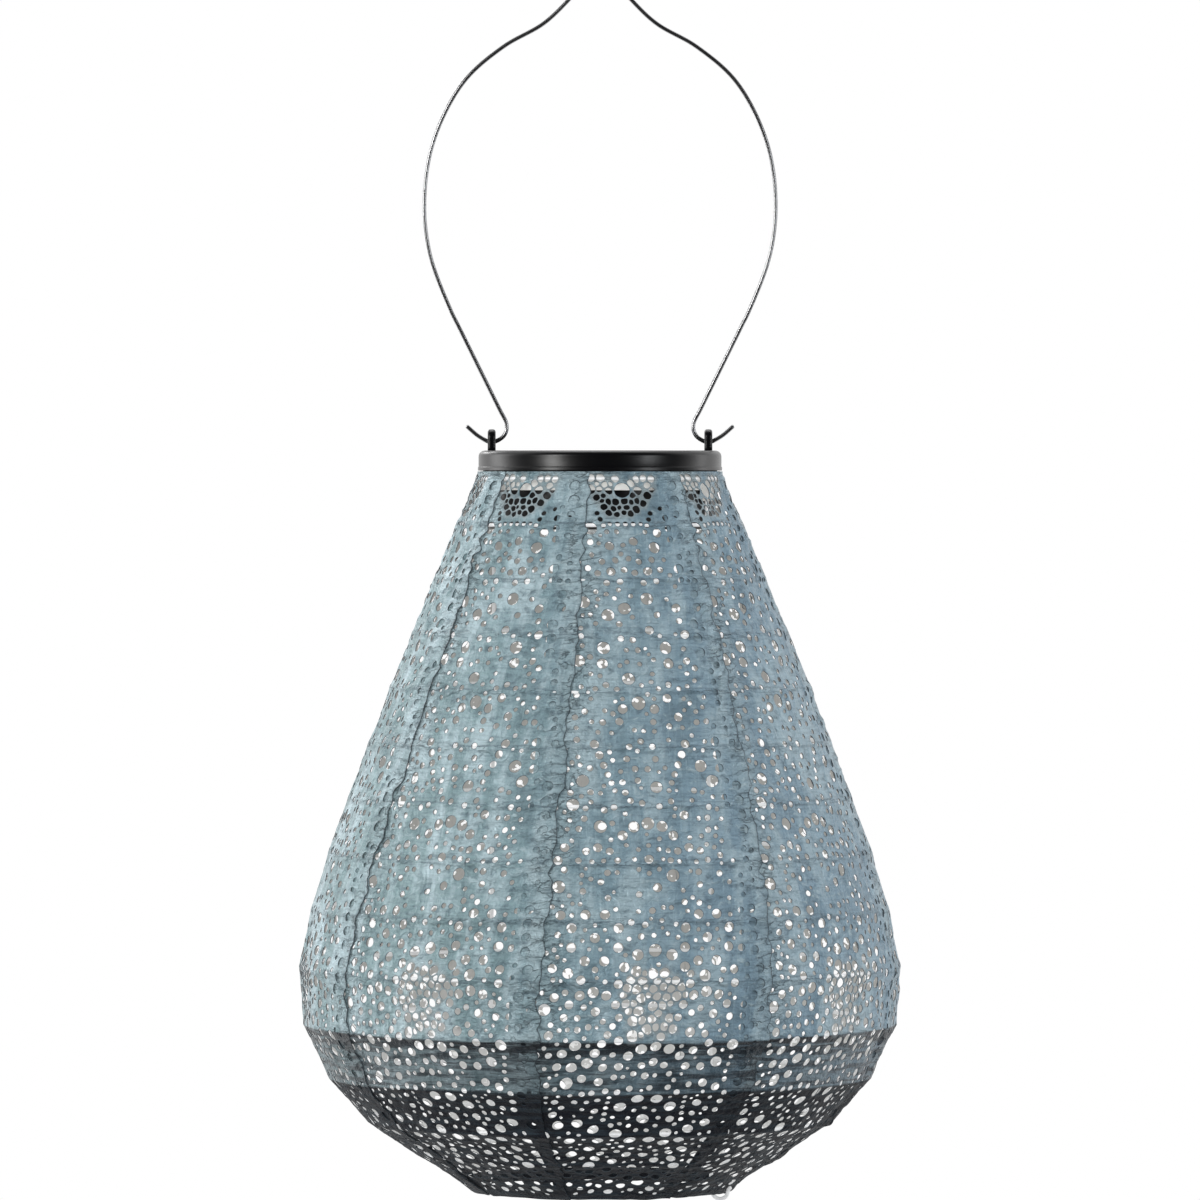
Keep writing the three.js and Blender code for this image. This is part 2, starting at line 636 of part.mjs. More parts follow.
function batteryDoor() {
  const halfLength = BAY_LENGTH / 2 + DOOR_LEDGE - GAP;
  const outerEdge = CELL_Y - BAY_HALF_WIDTH - DOOR_LEDGE + GAP;
  const plate = box([-halfLength, halfLength], [outerEdge, DOOR_HINGE_Y], [DRUM_BOTTOM, DOOR_TOP]);
  const hookBottom = FLOOR_TOP + GAP;
  const hookTop = hookBottom + DOOR_HOOK_THICKNESS;
  const neckY = DOOR_HINGE_Y - DOOR_HOOK_INSET;
  const hooks = [1, -1].flatMap((side) => {
    const x = side * DOOR_HOOK_X;
    const width = [x - DOOR_HOOK_WIDTH / 2, x + DOOR_HOOK_WIDTH / 2];
    const neck = box(width, [neckY - DOOR_HOOK_THICKNESS, neckY], [DOOR_TOP - GAP, hookTop]);
    const tongueStart = neckY - DOOR_HOOK_THICKNESS / 2;
    const tongue = box(width, [tongueStart, DOOR_HINGE_Y + DOOR_HOOK_REACH], [hookBottom, hookTop]);
    return [neck, tongue];
  });
  const gripTop = DRUM_BOTTOM + DOOR_GRIP_DEPTH;
  const grip = centredBox(DOOR_GRIP_WIDTH, DOOR_GRIP_LENGTH, DRUM_BOTTOM - TOOL_MARGIN, gripTop);
  grip.translate(0, outerEdge + DOOR_GRIP_LENGTH, 0);
  return piece('battery_door', cut(join(plate, ...hooks), grip), blackPlasticLook());
}

// Board, light source and lens

function circuitBoard() {
  const [width, length, thickness] = BOARD_SIZE;
  const board = centredBox(width, length, -BOARD_DEPTH - thickness, -BOARD_DEPTH);
  return piece('circuit_board', board.translate(0, BOARD_Y, 0), boardLook());
}

function led() {
  const top = -BOARD_DEPTH - BOARD_SIZE[2] - GAP;
  const domeZ = top - LED_LENGTH + LED_RADIUS;
  const dome = [0, 30, 60, 90].map((degrees) => {
    const angle = THREE.MathUtils.degToRad(degrees);
    return [LED_RADIUS * Math.sin(angle), domeZ - LED_RADIUS * Math.cos(angle)];
  });
  const profile = [
    ...dome,
    [LED_RADIUS, top - LED_RIM_HEIGHT],
    [LED_RIM_RADIUS, top - LED_RIM_HEIGHT],
    [LED_RIM_RADIUS, top],
    [0, top],
  ];
  return piece('led', turned(profile, SMALL_FACETS), clearLook());
}

function lens() {
  const rimBottom = FLOOR_TOP + GAP;
  const rimTop = rimBottom + LENS_WALL;
  const tip = DRUM_BOTTOM - LENS_DROP;
  const inner = LENS_RADIUS - LENS_WALL;
  const angles = [0, 30, 60, 90].map((degrees) => THREE.MathUtils.degToRad(degrees));
  const outside = angles.map((angle) => {
    return [LENS_RADIUS * Math.sin(angle), DRUM_BOTTOM - LENS_DROP * Math.cos(angle)];
  });
  const inside = angles.map((angle) => {
    const drop = LENS_DROP - LENS_WALL;
    return [inner * Math.sin(angle), tip + LENS_WALL + drop * (1 - Math.cos(angle))];
  });
  const profile = [
    ...inside,
    [inner, rimTop],
    [LENS_RADIUS + LENS_RIM, rimTop],
    [LENS_RADIUS + LENS_RIM, rimBottom],
    [LENS_RADIUS, rimBottom],
    ...outside.reverse(),
  ];
  return piece('lens', turned(profile, ROUND_FACETS / 2), clearLook());
}

// Slide switch, shown off, with its slider at -X

function switchBody() {
  const [length, width, height] = SWITCH_SIZE;
  const bottom = FLOOR_TOP + GAP;
  const block = centredBox(length, width, bottom, bottom + height);
  const [footLength, footWidth, footHeight] = SLIDER_FOOT;
  const hollow = centredBox(footLength + SLIDER_TRAVEL + 2 * GAP, footWidth + 2 * GAP,
    bottom - TOOL_MARGIN, bottom + footHeight + GAP);
  return piece('switch_body', cut(block, hollow).translate(0, SWITCH_Y, 0), tinLook());
}

function switchSlider() {
  const [footLength, footWidth, footHeight] = SLIDER_FOOT;
  const [knobLength, knobWidth] = SLIDER_KNOB;
  const bottom = FLOOR_TOP + GAP;
  const foot = centredBox(footLength, footWidth, bottom, bottom + footHeight);
  const knob = centredBox(knobLength, knobWidth, DRUM_BOTTOM - SLIDER_OUT, bottom + GAP);
  const slider = join(foot, knob).translate(-SLIDER_TRAVEL / 2, SWITCH_Y, 0);
  return piece('switch_slider', slider, blackPlasticLook());
}

// Shade

function shadeCurve() {
  const upperReach = SHADE_WIDEST_DEPTH - SHADE_TOP_DEPTH;
  const upper = SHADE_UPPER_SHARES.map(([out, down]) => new THREE.Vector2(
    THREE.MathUtils.lerp(SHADE_TOP_RADIUS, SHADE_RADIUS, out),
    -SHADE_TOP_DEPTH - down * upperReach,
  ));
  const lowerReach = SHADE_DEPTH - SHADE_WIDEST_DEPTH;
  const lower = SHADE_LOWER_SHARES.map(([out, down]) => new THREE.Vector2(
    THREE.MathUtils.lerp(SHADE_MOUTH_RADIUS, SHADE_RADIUS, out),
    -SHADE_WIDEST_DEPTH - down * lowerReach,
  ));
  return new THREE.SplineCurve([
    new THREE.Vector2(SHADE_TOP_RADIUS, -SHADE_TOP_DEPTH),
    ...upper,
    new THREE.Vector2(SHADE_RADIUS, -SHADE_WIDEST_DEPTH),
    ...lower,
    new THREE.Vector2(SHADE_MOUTH_RADIUS, -SHADE_DEPTH),
  ]);
}

// Points down the outside of the fabric: its upper edge, the top hoop, each hoop, the mouth
// ring and its lower edge. The fabric is straight from one to the next.
function shadeRows() {
  const curve = shadeCurve();
  const length = curve.getLength();
  const mouth = length - MOUTH_HEM;
  const spacing = (mouth - FIRST_HOOP_ALONG) / HOOPS;
  const hoops = Array.from({ length: HOOPS + 1 }, (_, i) => FIRST_HOOP_ALONG + i * spacing);
  const stops = [0, TOP_HOOP_ALONG, ...hoops, length];
  return stops.map((along) => curve.getPointAt(along / length));
}

// The rows moved into the shade by a distance square to the fabric.
function movedIn(rows, distance) {
  const normals = rows.slice(1).map((row, i) => {
    const along = row.clone().sub(rows[i]).normalize();
    return new THREE.Vector2(along.y, -along.x);
  });
  return rows.map((row, i) => {
    const above = normals[Math.max(i - 1, 0)];
    const below = normals[Math.min(i, normals.length - 1)];
    const middle = above.clone().add(below).normalize();
    return row.clone().addScaledVector(middle, distance / middle.dot(above));
  });
}

// The outline of one facet of a gore between two rows, as shares across and down, and those of
// its edges where the fabric ends. Half an opening is cut out of each side that has one.
function facetOutline(row, facet, lastRow) {
  const lastFacet = FACETS_PER_GORE - 1;
  const hasOpenings = row > 1 && row < HOOPS + 1;
  const mirrored = HALF_OPENING_SHARES.map(([out, down]) => [1 - out, down]);
  const right = hasOpenings && facet < lastFacet ? mirrored : [];
  const left = hasOpenings && facet > 0 ? [...HALF_OPENING_SHARES].reverse() : [];
  const edges = [right, left].flatMap((side) => side.slice(1).map((point, i) => [side[i], point]));
  if (row === 0) {
    edges.push([[0, 0], [1, 0]]);
  }
  if (row === lastRow) {
    edges.push([[1, 1], [0, 1]]);
  }
  if (facet === 0) {
    edges.push([[0, 1], [0, 0]]);
  }
  if (facet === lastFacet) {
    edges.push([[1, 0], [1, 1]]);
  }
  return { outline: [[0, 0], [1, 0], ...right, [1, 1], [0, 1], ...left], edges };
}

// A point of a facet at shares across and down, between two points of the rows. A gore ends half
// the gap short of each seam.
function onFacet(above, below, facet, azimuth, [across, down]) {
  const [upper, lower] = [above, below].map((point) => {
    const left = polar(point.x, azimuth, point.y);
    const right = polar(point.x, azimuth + 360 / SHADE_FACETS, point.y);
    const inset = GAP / 2 / left.distanceTo(right);
    const start = facet === 0 ? inset : 0;
    const end = facet === FACETS_PER_GORE - 1 ? 1 - inset : 1;
    return left.lerp(right, THREE.MathUtils.lerp(start, end, across));
  });
  return upper.lerp(lower, down);
}

// One gore, with its thickness inwards. A plain grid of openings stands for its finer lace: one
// on each crease inside the gore, between each two hoops.
function gore(outer, inner, firstAzimuth) {
  const triangles = [];
  for (let row = 0; row < outer.length - 1; row += 1) {
    for (let facet = 0; facet < FACETS_PER_GORE; facet += 1) {
      const azimuth = firstAzimuth + (facet * 360) / SHADE_FACETS;
      const outside = (point) => onFacet(outer[row], outer[row + 1], facet, azimuth, point);
      const inside = (point) => onFacet(inner[row], inner[row + 1], facet, azimuth, point);
      const { outline, edges } = facetOutline(row, facet, outer.length - 2);
      const shape = outline.map(([across, down]) => new THREE.Vector2(across, down));
      for (const corners of THREE.ShapeUtils.triangulateShape(shape, [])) {
        const face = corners.map((i) => outline[i]);
        triangles.push(face.map(outside), face.map(inside).reverse());
      }
      for (const [from, to] of edges) {
        triangles.push([outside(to), outside(from), inside(from)]);
        triangles.push([outside(to), inside(from), inside(to)]);
      }
    }
  }
  return new THREE.BufferGeometry().setFromPoints(triangles.flat());
}

function gores(rows) {
  const inner = movedIn(rows, FABRIC);
  return Array.from({ length: GORES }, (_, i) => {
    const geometry = gore(rows, inner, FIRST_SEAM + (i * 360) / GORES);
    return piece(`shade_gore_${i + 1}`, geometry, fabricLook());
  });
}

function hoops(rows) {
  const centres = movedIn(rows, FABRIC + GAP + HOOP_WIRE_RADIUS);
  return Array.from({ length: HOOPS }, (_, i) => {
    const centre = centres[i + 2];
    const geometry = wireHoop(centre.x, centre.y, HOOP_WIRE_RADIUS, HOOP_SIDES);
    return piece(`shade_hoop_${String(i + 1).padStart(2, '0')}`, geometry, steelLook());
  });
}

function topHoop(rows) {
  const z = rows[1].y;
  return piece('top_hoop', wireHoop(TOP_HOOP_RADIUS, z, HOOP_WIRE_RADIUS, HOOP_SIDES), steelLook());
}

function mouthCentre(rows) {
  const centres = movedIn(rows, FABRIC + GAP + MOUTH_WIRE_RADIUS);
  return centres[centres.length - 2];
}

function mouthRing(rows) {
  const centre = mouthCentre(rows);
  const geometry = wireHoop(centre.x, centre.y, MOUTH_WIRE_RADIUS, WIRE_SIDES);
  return piece('mouth_ring', geometry, steelLook());
}

function socketBlock() {
  const inner = COLLAR_INNER + COLLAR_WALL / 4;
  const outer = SOCKET_RADIUS + LEG_WIRE_RADIUS + GAP + SOCKET_SKIN;
  const top = -SOCKET_START;
  const half = SOCKET_WIDTH / 2;
  return box([-half, half], [-outer, -inner], [top - SOCKET_HEIGHT, top]);
}

function socketBore() {
  const top = -SOCKET_START - SOCKET_SKIN;
  const bottom = -SOCKET_START - SOCKET_HEIGHT - TOOL_MARGIN;
  return disc(LEG_WIRE_RADIUS + GAP, bottom, top, SMALL_FACETS).translate(0, -SOCKET_RADIUS, 0);
}

function atAzimuth(geometry, azimuth) {
  return geometry.rotateZ(THREE.MathUtils.degToRad(azimuth));
}

function collar() {
  const flangeTop = -GAP;
  const profile = [
    [COLLAR_INNER, COLLAR_PLUG_HEIGHT],
    [PLUG_RADIUS, COLLAR_PLUG_HEIGHT],
    [PLUG_RADIUS, flangeTop],
    [CAP_RADIUS - COLLAR_INSET, flangeTop],
    [CAP_RADIUS - COLLAR_INSET, flangeTop - COLLAR_FLANGE],
    [COLLAR_OUTER, flangeTop - COLLAR_FLANGE],
    [COLLAR_OUTER, -COLLAR_DEPTH],
    [COLLAR_INNER, -COLLAR_DEPTH],
    [COLLAR_INNER, COLLAR_PLUG_HEIGHT],
  ];
  const ring = turned(profile, SHADE_FACETS, FIRST_SEAM);
  const blocks = LEG_AZIMUTHS.map((azimuth) => atAzimuth(socketBlock(), azimuth));
  const bores = LEG_AZIMUTHS.map((azimuth) => atAzimuth(socketBore(), azimuth));
  return piece('shade_collar', cut(join(ring, ...blocks), ...bores), whitePlasticLook());
}

// A wire leg that stands in its socket and hooks round the mouth ring and the fabric's hem.
function leg(name, azimuth, rows) {
  const ring = mouthCentre(rows);
  const hook = [ring.x + LEG_HOOK_OUT, ring.y - LEG_HOOK_DROP];
  const top = -SOCKET_START - SOCKET_SKIN - GAP;
  const inner = hook[0] - LEG_HOOK_RADIUS;
  const straight = [
    [SOCKET_RADIUS, top],
    [SOCKET_RADIUS, top - SOCKET_HEIGHT],
    [(SOCKET_RADIUS + inner) / 2, (top + hook[1]) / 2],
    [inner, hook[1] + 4 * LEG_HOOK_RADIUS],
    [inner, hook[1] + LEG_HOOK_RADIUS],
  ];
  const round = [180, 225, 270, 315, 360].map((degrees) => {
    const angle = THREE.MathUtils.degToRad(degrees);
    return [hook[0] + LEG_HOOK_RADIUS * Math.cos(angle), hook[1] + LEG_HOOK_RADIUS * Math.sin(angle)];
  });
  const tip = [hook[0] + LEG_HOOK_RADIUS + LEG_TIP[0], hook[1] + LEG_TIP[1]];
  const path = [...straight, ...round, tip].map(([radius, z]) => polar(radius, azimuth, z));
  return piece(name, wire(path, LEG_WIRE_RADIUS, WIRE_SIDES, 2), steelLook());
}

// Assembly

function capAssembly() {
  const group = new THREE.Group();
  group.add(capHousing(), solarPanel(), capSeal(), spacerRing(), batteryDrum());
  group.add(panelLead('panel_lead_red', 1, 0xb3221c), panelLead('panel_lead_black', -1, 0x18181a));
  SCREW_AZIMUTHS.forEach((azimuth, i) => group.add(drumScrew(`drum_screw_${i + 1}`, azimuth)));
  group.add(cell(), contactPlate(), contactSpring(), batteryDoor());
  group.add(circuitBoard(), led(), lens(), switchBody(), switchSlider());
  group.position.z = CAP_Z;
  return group;
}

function shadeAssembly() {
  const rows = shadeRows();
  const group = new THREE.Group();
  group.add(collar(), topHoop(rows), ...hoops(rows), mouthRing(rows), ...gores(rows));
  LEG_AZIMUTHS.forEach((azimuth, i) => group.add(leg(`spreader_leg_${i + 1}`, azimuth, rows)));
  group.position.z = CAP_Z;
  return group;
}

const lantern = new THREE.Group();
lantern.add(bail(), capAssembly(), shadeAssembly());

export default lantern;
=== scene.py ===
"""Solar hanging lantern: the looks of its wire bail, solar cap, hoops and perforated cloth shade.

Metres, +Z up, with the origin on the bail where it rests on its hook. An azimuth turns from -Y
towards +X, and the cloth is laid out flat by its distance down from its upper edge.
"""

import math
import random

import bmesh
import bpy
import numpy as np
from bpy.props import FloatProperty, FloatVectorProperty, IntProperty, PointerProperty
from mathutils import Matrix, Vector
from mathutils.geometry import delaunay_2d_cdt


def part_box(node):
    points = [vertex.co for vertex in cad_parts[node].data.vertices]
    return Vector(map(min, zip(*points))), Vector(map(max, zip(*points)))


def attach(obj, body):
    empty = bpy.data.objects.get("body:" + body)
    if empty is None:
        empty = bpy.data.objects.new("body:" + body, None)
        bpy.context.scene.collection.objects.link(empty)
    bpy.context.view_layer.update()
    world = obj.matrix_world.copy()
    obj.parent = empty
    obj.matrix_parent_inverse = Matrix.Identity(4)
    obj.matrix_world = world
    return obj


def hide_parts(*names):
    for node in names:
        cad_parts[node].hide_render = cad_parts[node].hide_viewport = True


bl_info = {
    "name": "Solar hanging lantern",
    "version": (1, 0, 0),
    "blender": (4, 5, 0),
    "location": "3D Viewport > Sidebar > Lantern",
    "description": "Makes the wire bail, solar cap and perforated cloth shade of a hanging lantern",
    "category": "Object",
}

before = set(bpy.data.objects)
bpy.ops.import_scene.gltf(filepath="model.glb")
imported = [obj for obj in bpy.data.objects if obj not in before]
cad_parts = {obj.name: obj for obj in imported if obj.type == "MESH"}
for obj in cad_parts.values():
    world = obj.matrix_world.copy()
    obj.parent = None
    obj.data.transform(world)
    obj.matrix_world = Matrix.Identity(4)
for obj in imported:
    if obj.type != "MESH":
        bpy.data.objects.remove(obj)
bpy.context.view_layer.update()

MM = 0.001
CAP_Z = -0.2306  # lower edge of the cap
EYE_X = 0.0502  # middle of an ear's eye
GORES = 8
FIRST_SEAM = math.radians(-12.8)
HOOP_NODES = [f"shade_hoop_{i:02d}" for i in range(1, 14)]
GORE_NODES = [f"shade_gore_{i}" for i in range(1, GORES + 1)]


# Nodes


class Value:
    """A node's output that takes part in Python expressions on numbers."""

    def __init__(self, nodes, socket):
        self.nodes = nodes
        self.socket = socket

    def output(self, name):
        return Value(self.nodes, self.socket.node.outputs[name])

    def __add__(self, other):
        return self.nodes.maths("ADD", self, other)

    __radd__ = __add__

    def __sub__(self, other):
        return self.nodes.maths("SUBTRACT", self, other)

    def __rsub__(self, other):
        return self.nodes.maths("SUBTRACT", other, self)

    def __mul__(self, other):
        return self.nodes.maths("MULTIPLY", self, other)

    __rmul__ = __mul__

    def __truediv__(self, other):
        return self.nodes.maths("DIVIDE", self, other)


class Nodes:
    """Adds nodes to one tree, of a material, the world or Geometry Nodes."""

    def __init__(self, tree):
        self.tree = tree

    def node(self, kind, settings=None, sockets=None):
        """Adds a node with its settings and then its sockets, and gives its first output."""
        made = self.tree.nodes.new(kind)
        for name, value in (settings or {}).items():
            setattr(made, name, value)
        for key, value in (sockets or {}).items():
            if isinstance(value, Value):
                self.tree.links.new(value.socket, made.inputs[key])
            else:
                made.inputs[key].default_value = value
        return Value(self, made.outputs[0]) if made.outputs else made

    def maths(self, operation, *values):
        return self.node("ShaderNodeMath", {"operation": operation}, dict(enumerate(values)))

    def smooth(self, value, start, end):
        """0 before start and 1 after end, with a smooth turn between."""
        settings = {"interpolation_type": "SMOOTHSTEP"}
        sockets = {"Value": value, "From Min": start, "From Max": end}
        return self.node("ShaderNodeMapRange", settings, sockets)

    def parts(self, vector):
        """The X, Y and Z of a vector."""
        split = self.node("ShaderNodeSeparateXYZ", None, {0: vector})
        return split, split.output("Y"), split.output("Z")

    def vector(self, x, y, z):
        return self.node("ShaderNodeCombineXYZ", None, {0: x, 1: y, 2: z})

    def noise(self, vector, scale, detail=2.0, roughness=0.5, distortion=0.0):
        sockets = {"Vector": vector, "Scale": scale, "Detail": detail, "Roughness": roughness}
        return self.node("ShaderNodeTexNoise", None, {**sockets, "Distortion": distortion})

    def blend(self, factor, first, second):
        """A colour between two colours."""
        sockets = {0: factor, 6: self._color(first), 7: self._color(second)}
        return self.node("ShaderNodeMix", {"data_type": "RGBA"}, sockets).output(2)

    def _color(self, color):
        return color if isinstance(color, Value) else (*tuple(color)[:3], 1)


class Finish(Nodes):
    """The node tree of one material with a Principled shader."""

    def __init__(self, name):
        self.material = bpy.data.materials.new(name)
        self.material.use_nodes = True
        super().__init__(self.material.node_tree)
        self.tree.nodes.clear()
        self.object = self.node("ShaderNodeTexCoord").output("Object")

    def attribute(self, name, output="Fac"):
        return self.node("ShaderNodeAttribute", {"attribute_name": name}).output(output)

    def bump(self, height, distance):
        return self.node("ShaderNodeBump", None, {"Height": height, "Distance": distance})

    def principled(self, color, roughness, **sockets):
        named = {"Base Color": self._color(color), "Roughness": roughness}
        named.update({key.replace("_", " "): value for key, value in sockets.items()})
        shader = self.node("ShaderNodeBsdfPrincipled", None, named)
        self.node("ShaderNodeOutputMaterial", None, {0: shader})
        return self.material


class Recipe(Nodes):
    """A Geometry Nodes tree with named inputs."""

    def __init__(self, name, inputs):
        super().__init__(bpy.data.node_groups.new(name, "GeometryNodeTree"))
        sockets = self.tree.interface
        sockets.new_socket("Geometry", in_out="INPUT", socket_type="NodeSocketGeometry")
        for label, (kind, default) in inputs.items():
            made = sockets.new_socket(label, in_out="INPUT", socket_type=f"NodeSocket{kind}")
            if default is not None:
                made.default_value = default
        sockets.new_socket("Geometry", in_out="OUTPUT", socket_type="NodeSocketGeometry")
        self.entry = self.node("NodeGroupInput")

    def input(self, label):
        return self.entry.output(label)

    def attribute(self, name):
        return self.node("GeometryNodeInputNamedAttribute", {"data_type": "FLOAT"}, {"Name": name})

    def finish(self, geometry):
        """Realizes the instances, sets the material and ends the tree."""
        whole = self.node("GeometryNodeRealizeInstances", None, {0: geometry})
        sockets = {0: whole, "Material": self.input("Finish")}
        whole = self.node("GeometryNodeSetMaterial", None, sockets)
        self.node("NodeGroupOutput", None, {0: whole})
        return self.tree


def run_recipe(obj, tree, values, shell=None):
    """Runs a tree on an object, and then any shell, and keeps the result as its mesh."""
    modifier = obj.modifiers.new("Recipe", "NODES")
    modifier.node_group = tree
    for item in tree.interface.items_tree:
        if item.in_out == "INPUT" and item.name in values:
            modifier[item.identifier] = values[item.name]
    if shell:
        solidify = obj.modifiers.new("Solidify", "SOLIDIFY")
        for name, value in shell.items():
            setattr(solidify, name, value)
    bpy.context.view_layer.update()
    evaluated = obj.evaluated_get(bpy.context.evaluated_depsgraph_get())
    mesh = bpy.data.meshes.new_from_object(evaluated)
    obj.modifiers.clear()
    old = obj.data
    obj.data = mesh
    bpy.data.meshes.remove(old)
    mesh.name = obj.name


# Meshes


def placed(name, data):
    """A new object in the scene."""
    obj = bpy.data.objects.new(name, data)
    bpy.context.scene.collection.objects.link(obj)
    return obj


def new_object(name, points, edges=(), faces=()):
    mesh = bpy.data.meshes.new(name)
    mesh.from_pydata([tuple(p) for p in points], list(edges), list(faces))
    return placed(name, mesh)


def smooth_to(obj, degrees):
    """Smooth shading, with the edges sharper than an angle left sharp."""
    mesh = obj.data
    mesh.shade_smooth()
    mesh.set_sharp_from_angle(angle=math.radians(degrees))
    return obj


def add_point_values(mesh, name, values):
    """Keeps one number for each point under a name."""
    attribute = mesh.attributes.new(name, "FLOAT", "POINT")
    attribute.data.foreach_set("value", np.asarray(values, np.float32))


def wear(obj, *materials):
    """Puts the materials in the mesh's slots and leaves the faces' slot numbers as they are."""
    slots = obj.data.materials
    while len(slots) < len(materials):
        slots.append(None)
    for i, material in enumerate(materials):
        slots[i] = material
    return obj


def loft(rings, looped=False):
    """Points and faces of a skin over rings of as many points each, looped or with closed ends."""
    count = len(rings[0])
    points = [point for ring in rings for point in ring]
    spans = len(rings) if looped else len(rings) - 1
    faces = []
    for k in range(spans):
        near, far = k * count, ((k + 1) % len(rings)) * count
        for i in range(count):
            j = (i + 1) % count
            faces.append((near + i, near + j, far + j, far + i))
    if not looped:
        faces.append(tuple(reversed(range(count))))
        faces.append(tuple(range((len(rings) - 1) * count, len(rings) * count)))
    return points, faces


def solid(name, *shells):
    """One object from closed shells, with each shell's faces turned outwards."""
    points, faces = [], []
    for shell_points, shell_faces in shells:
        start = len(points)
        points += shell_points
        faces += [tuple(start + i for i in face) for face in shell_faces]
    obj = new_object(name, points, (), faces)
    work = bmesh.new()
    work.from_mesh(obj.data)
    bmesh.ops.remove_doubles(work, verts=work.verts, dist=1e-7)
    bmesh.ops.recalc_face_normals(work, faces=work.faces)
    work.to_mesh(obj.data)
    work.free()
    return obj


def clean_copy(node, bevel):
    """A merged copy of a CAD node's mesh, with its flat faces whole and its edges rounded."""
    obj = placed(f"{node}_dressed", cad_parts[node].data.copy())
    work = bmesh.new()
    work.from_mesh(obj.data)
    bmesh.ops.remove_doubles(work, verts=work.verts, dist=2e-6)
    flat = math.radians(0.6)
    bmesh.ops.dissolve_limit(work, angle_limit=flat, verts=work.verts, edges=work.edges)
    work.to_mesh(obj.data)
    work.free()
    if bevel:
        edges = obj.modifiers.new("Bevel", "BEVEL")
        edges.width = bevel
        edges.segments = 3
        edges.limit_method = "ANGLE"
        edges.angle_limit = math.radians(40)
        edges.harden_normals = True
    return smooth_to(obj, 32)


def stand_for(obj, body, node):
    """The piece rides on a body and replaces a CAD node."""
    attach(obj, body)
    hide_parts(node)


def polar(radius, azimuth, z):
    return Vector((radius * math.sin(azimuth), -radius * math.cos(azimuth), z))


def turns(count):
    """Even angles all the way round."""
    return [2 * math.pi * i / count for i in range(count)]


def turned_ring(radius, z, count):
    step = 2 * math.pi / count
    return [polar(radius, i * step, z) for i in range(count)]


def through(points, steps):
    """A smooth line through points, with the same steps between each two of them."""
    ends = [2 * points[0] - points[1], *points, 2 * points[-1] - points[-2]]
    line = []
    for before, start, end, after in zip(ends, ends[1:], ends[2:], ends[3:]):
        d0 = max((start - before).length ** 0.5, 1e-6)
        d1 = max((end - start).length ** 0.5, 1e-6)
        d2 = max((after - end).length ** 0.5, 1e-6)
        leaving = ((start - before) / d0 - (end - before) / (d0 + d1)) * d1 + (end - start)
        arriving = ((after - end) / d2 - (after - start) / (d1 + d2)) * d1 + (end - start)
        for i in range(steps):
            t = i / steps
            near = (2 * t**3 - 3 * t**2 + 1) * start + (t**3 - 2 * t**2 + t) * leaving
            line.append(near + (-2 * t**3 + 3 * t**2) * end + (t**3 - t**2) * arriving)
    return [*line, points[-1].copy()]


def wire_recipe():
    """A round wire along the edges of a mesh, thinner where its taper says so."""
    inputs = {"Wire radius": ("Float", 0.001), "Sides": ("Int", 12), "Finish": ("Material", None)}
    tree = Recipe("Wire along a path", inputs)
    line = tree.node("GeometryNodeMeshToCurve", None, {0: tree.input("Geometry")})
    section = {"Resolution": tree.input("Sides"), "Radius": tree.input("Wire radius")}
    circle = tree.node("GeometryNodeCurvePrimitiveCircle", {"mode": "RADIUS"}, section)
    sweep = {"Curve": line, "Profile Curve": circle, "Scale": tree.attribute("taper")}
    tube = tree.node("GeometryNodeCurveToMesh", None, {**sweep, "Fill Caps": True})
    tube = tree.node("GeometryNodeSetShadeSmooth", None, {0: tube})
    return tree.finish(tube)


def wire_piece(name, line, radius, material, sides, looped=False):
    """A wire along a line of points. An open wire has rounded ends."""
    line, taper = (line, [1.0] * len(line)) if looped else rounded_ends(line, radius)
    edges = [(i, i + 1) for i in range(len(line) - 1)]
    if looped:
        edges.append((len(line) - 1, 0))
    obj = new_object(name, line, edges)
    add_point_values(obj.data, "taper", taper)
    values = {"Wire radius": radius, "Sides": sides, "Finish": material}
    run_recipe(obj, wire_recipe(), values)
    return smooth_to(obj, 50)


def rounded_ends(line, radius):
    """The line with a few points added at its ends, and the wire's thickness at each."""
    bends = [math.radians(degrees) for degrees in (12, 40, 68)]
    first = (line[0] - line[1]).normalized()
    last = (line[-1] - line[-2]).normalized()
    inner = radius * 0.8
    head = [line[0] + first * inner * (math.cos(a) - 1) for a in bends]
    tail = [line[-1] + last * inner * (math.cos(a) - 1) for a in reversed(bends)]
    thin = [0.45 + 0.55 * math.sin(a) for a in bends]
    middle = [p for p in line if (p - line[0]).length > inner and (p - line[-1]).length > inner]
    return [*head, *middle, *tail], [*thin, *[1.0] * len(middle), *reversed(thin)]


# Finishes


def plain_finish(name, color, cloud, tint, rough, grain=None, **sockets):
    """A finish whose colour and roughness follow a soft noise, with or without a fine grain.

    cloud and grain hold a noise's scale, its detail, how much it adds to the roughness and, for the
    grain, the height of its bump. tint says how far the colour goes to what multiple of itself.
    """
    look = Finish(name)
    scale, detail, vary = cloud
    soft = look.noise(look.object, scale, detail)
    share, factor = tint
    tone = look.blend(soft * share, color, times(color, factor))
    rough = rough + soft * vary
    if grain:
        scale, detail, vary, height = grain
        fine = look.noise(look.object, scale, detail)
        rough = rough + fine * vary
        if height:
            sockets["Normal"] = look.bump(fine, height)
    # a glow, where one is asked for, is painted light in the finish's colour
    if "Emission Strength" in sockets:
        sockets["Emission Color"] = tone
    return look.principled(tone, rough, **sockets)


def times(color, factor):
    return [factor * part for part in color]


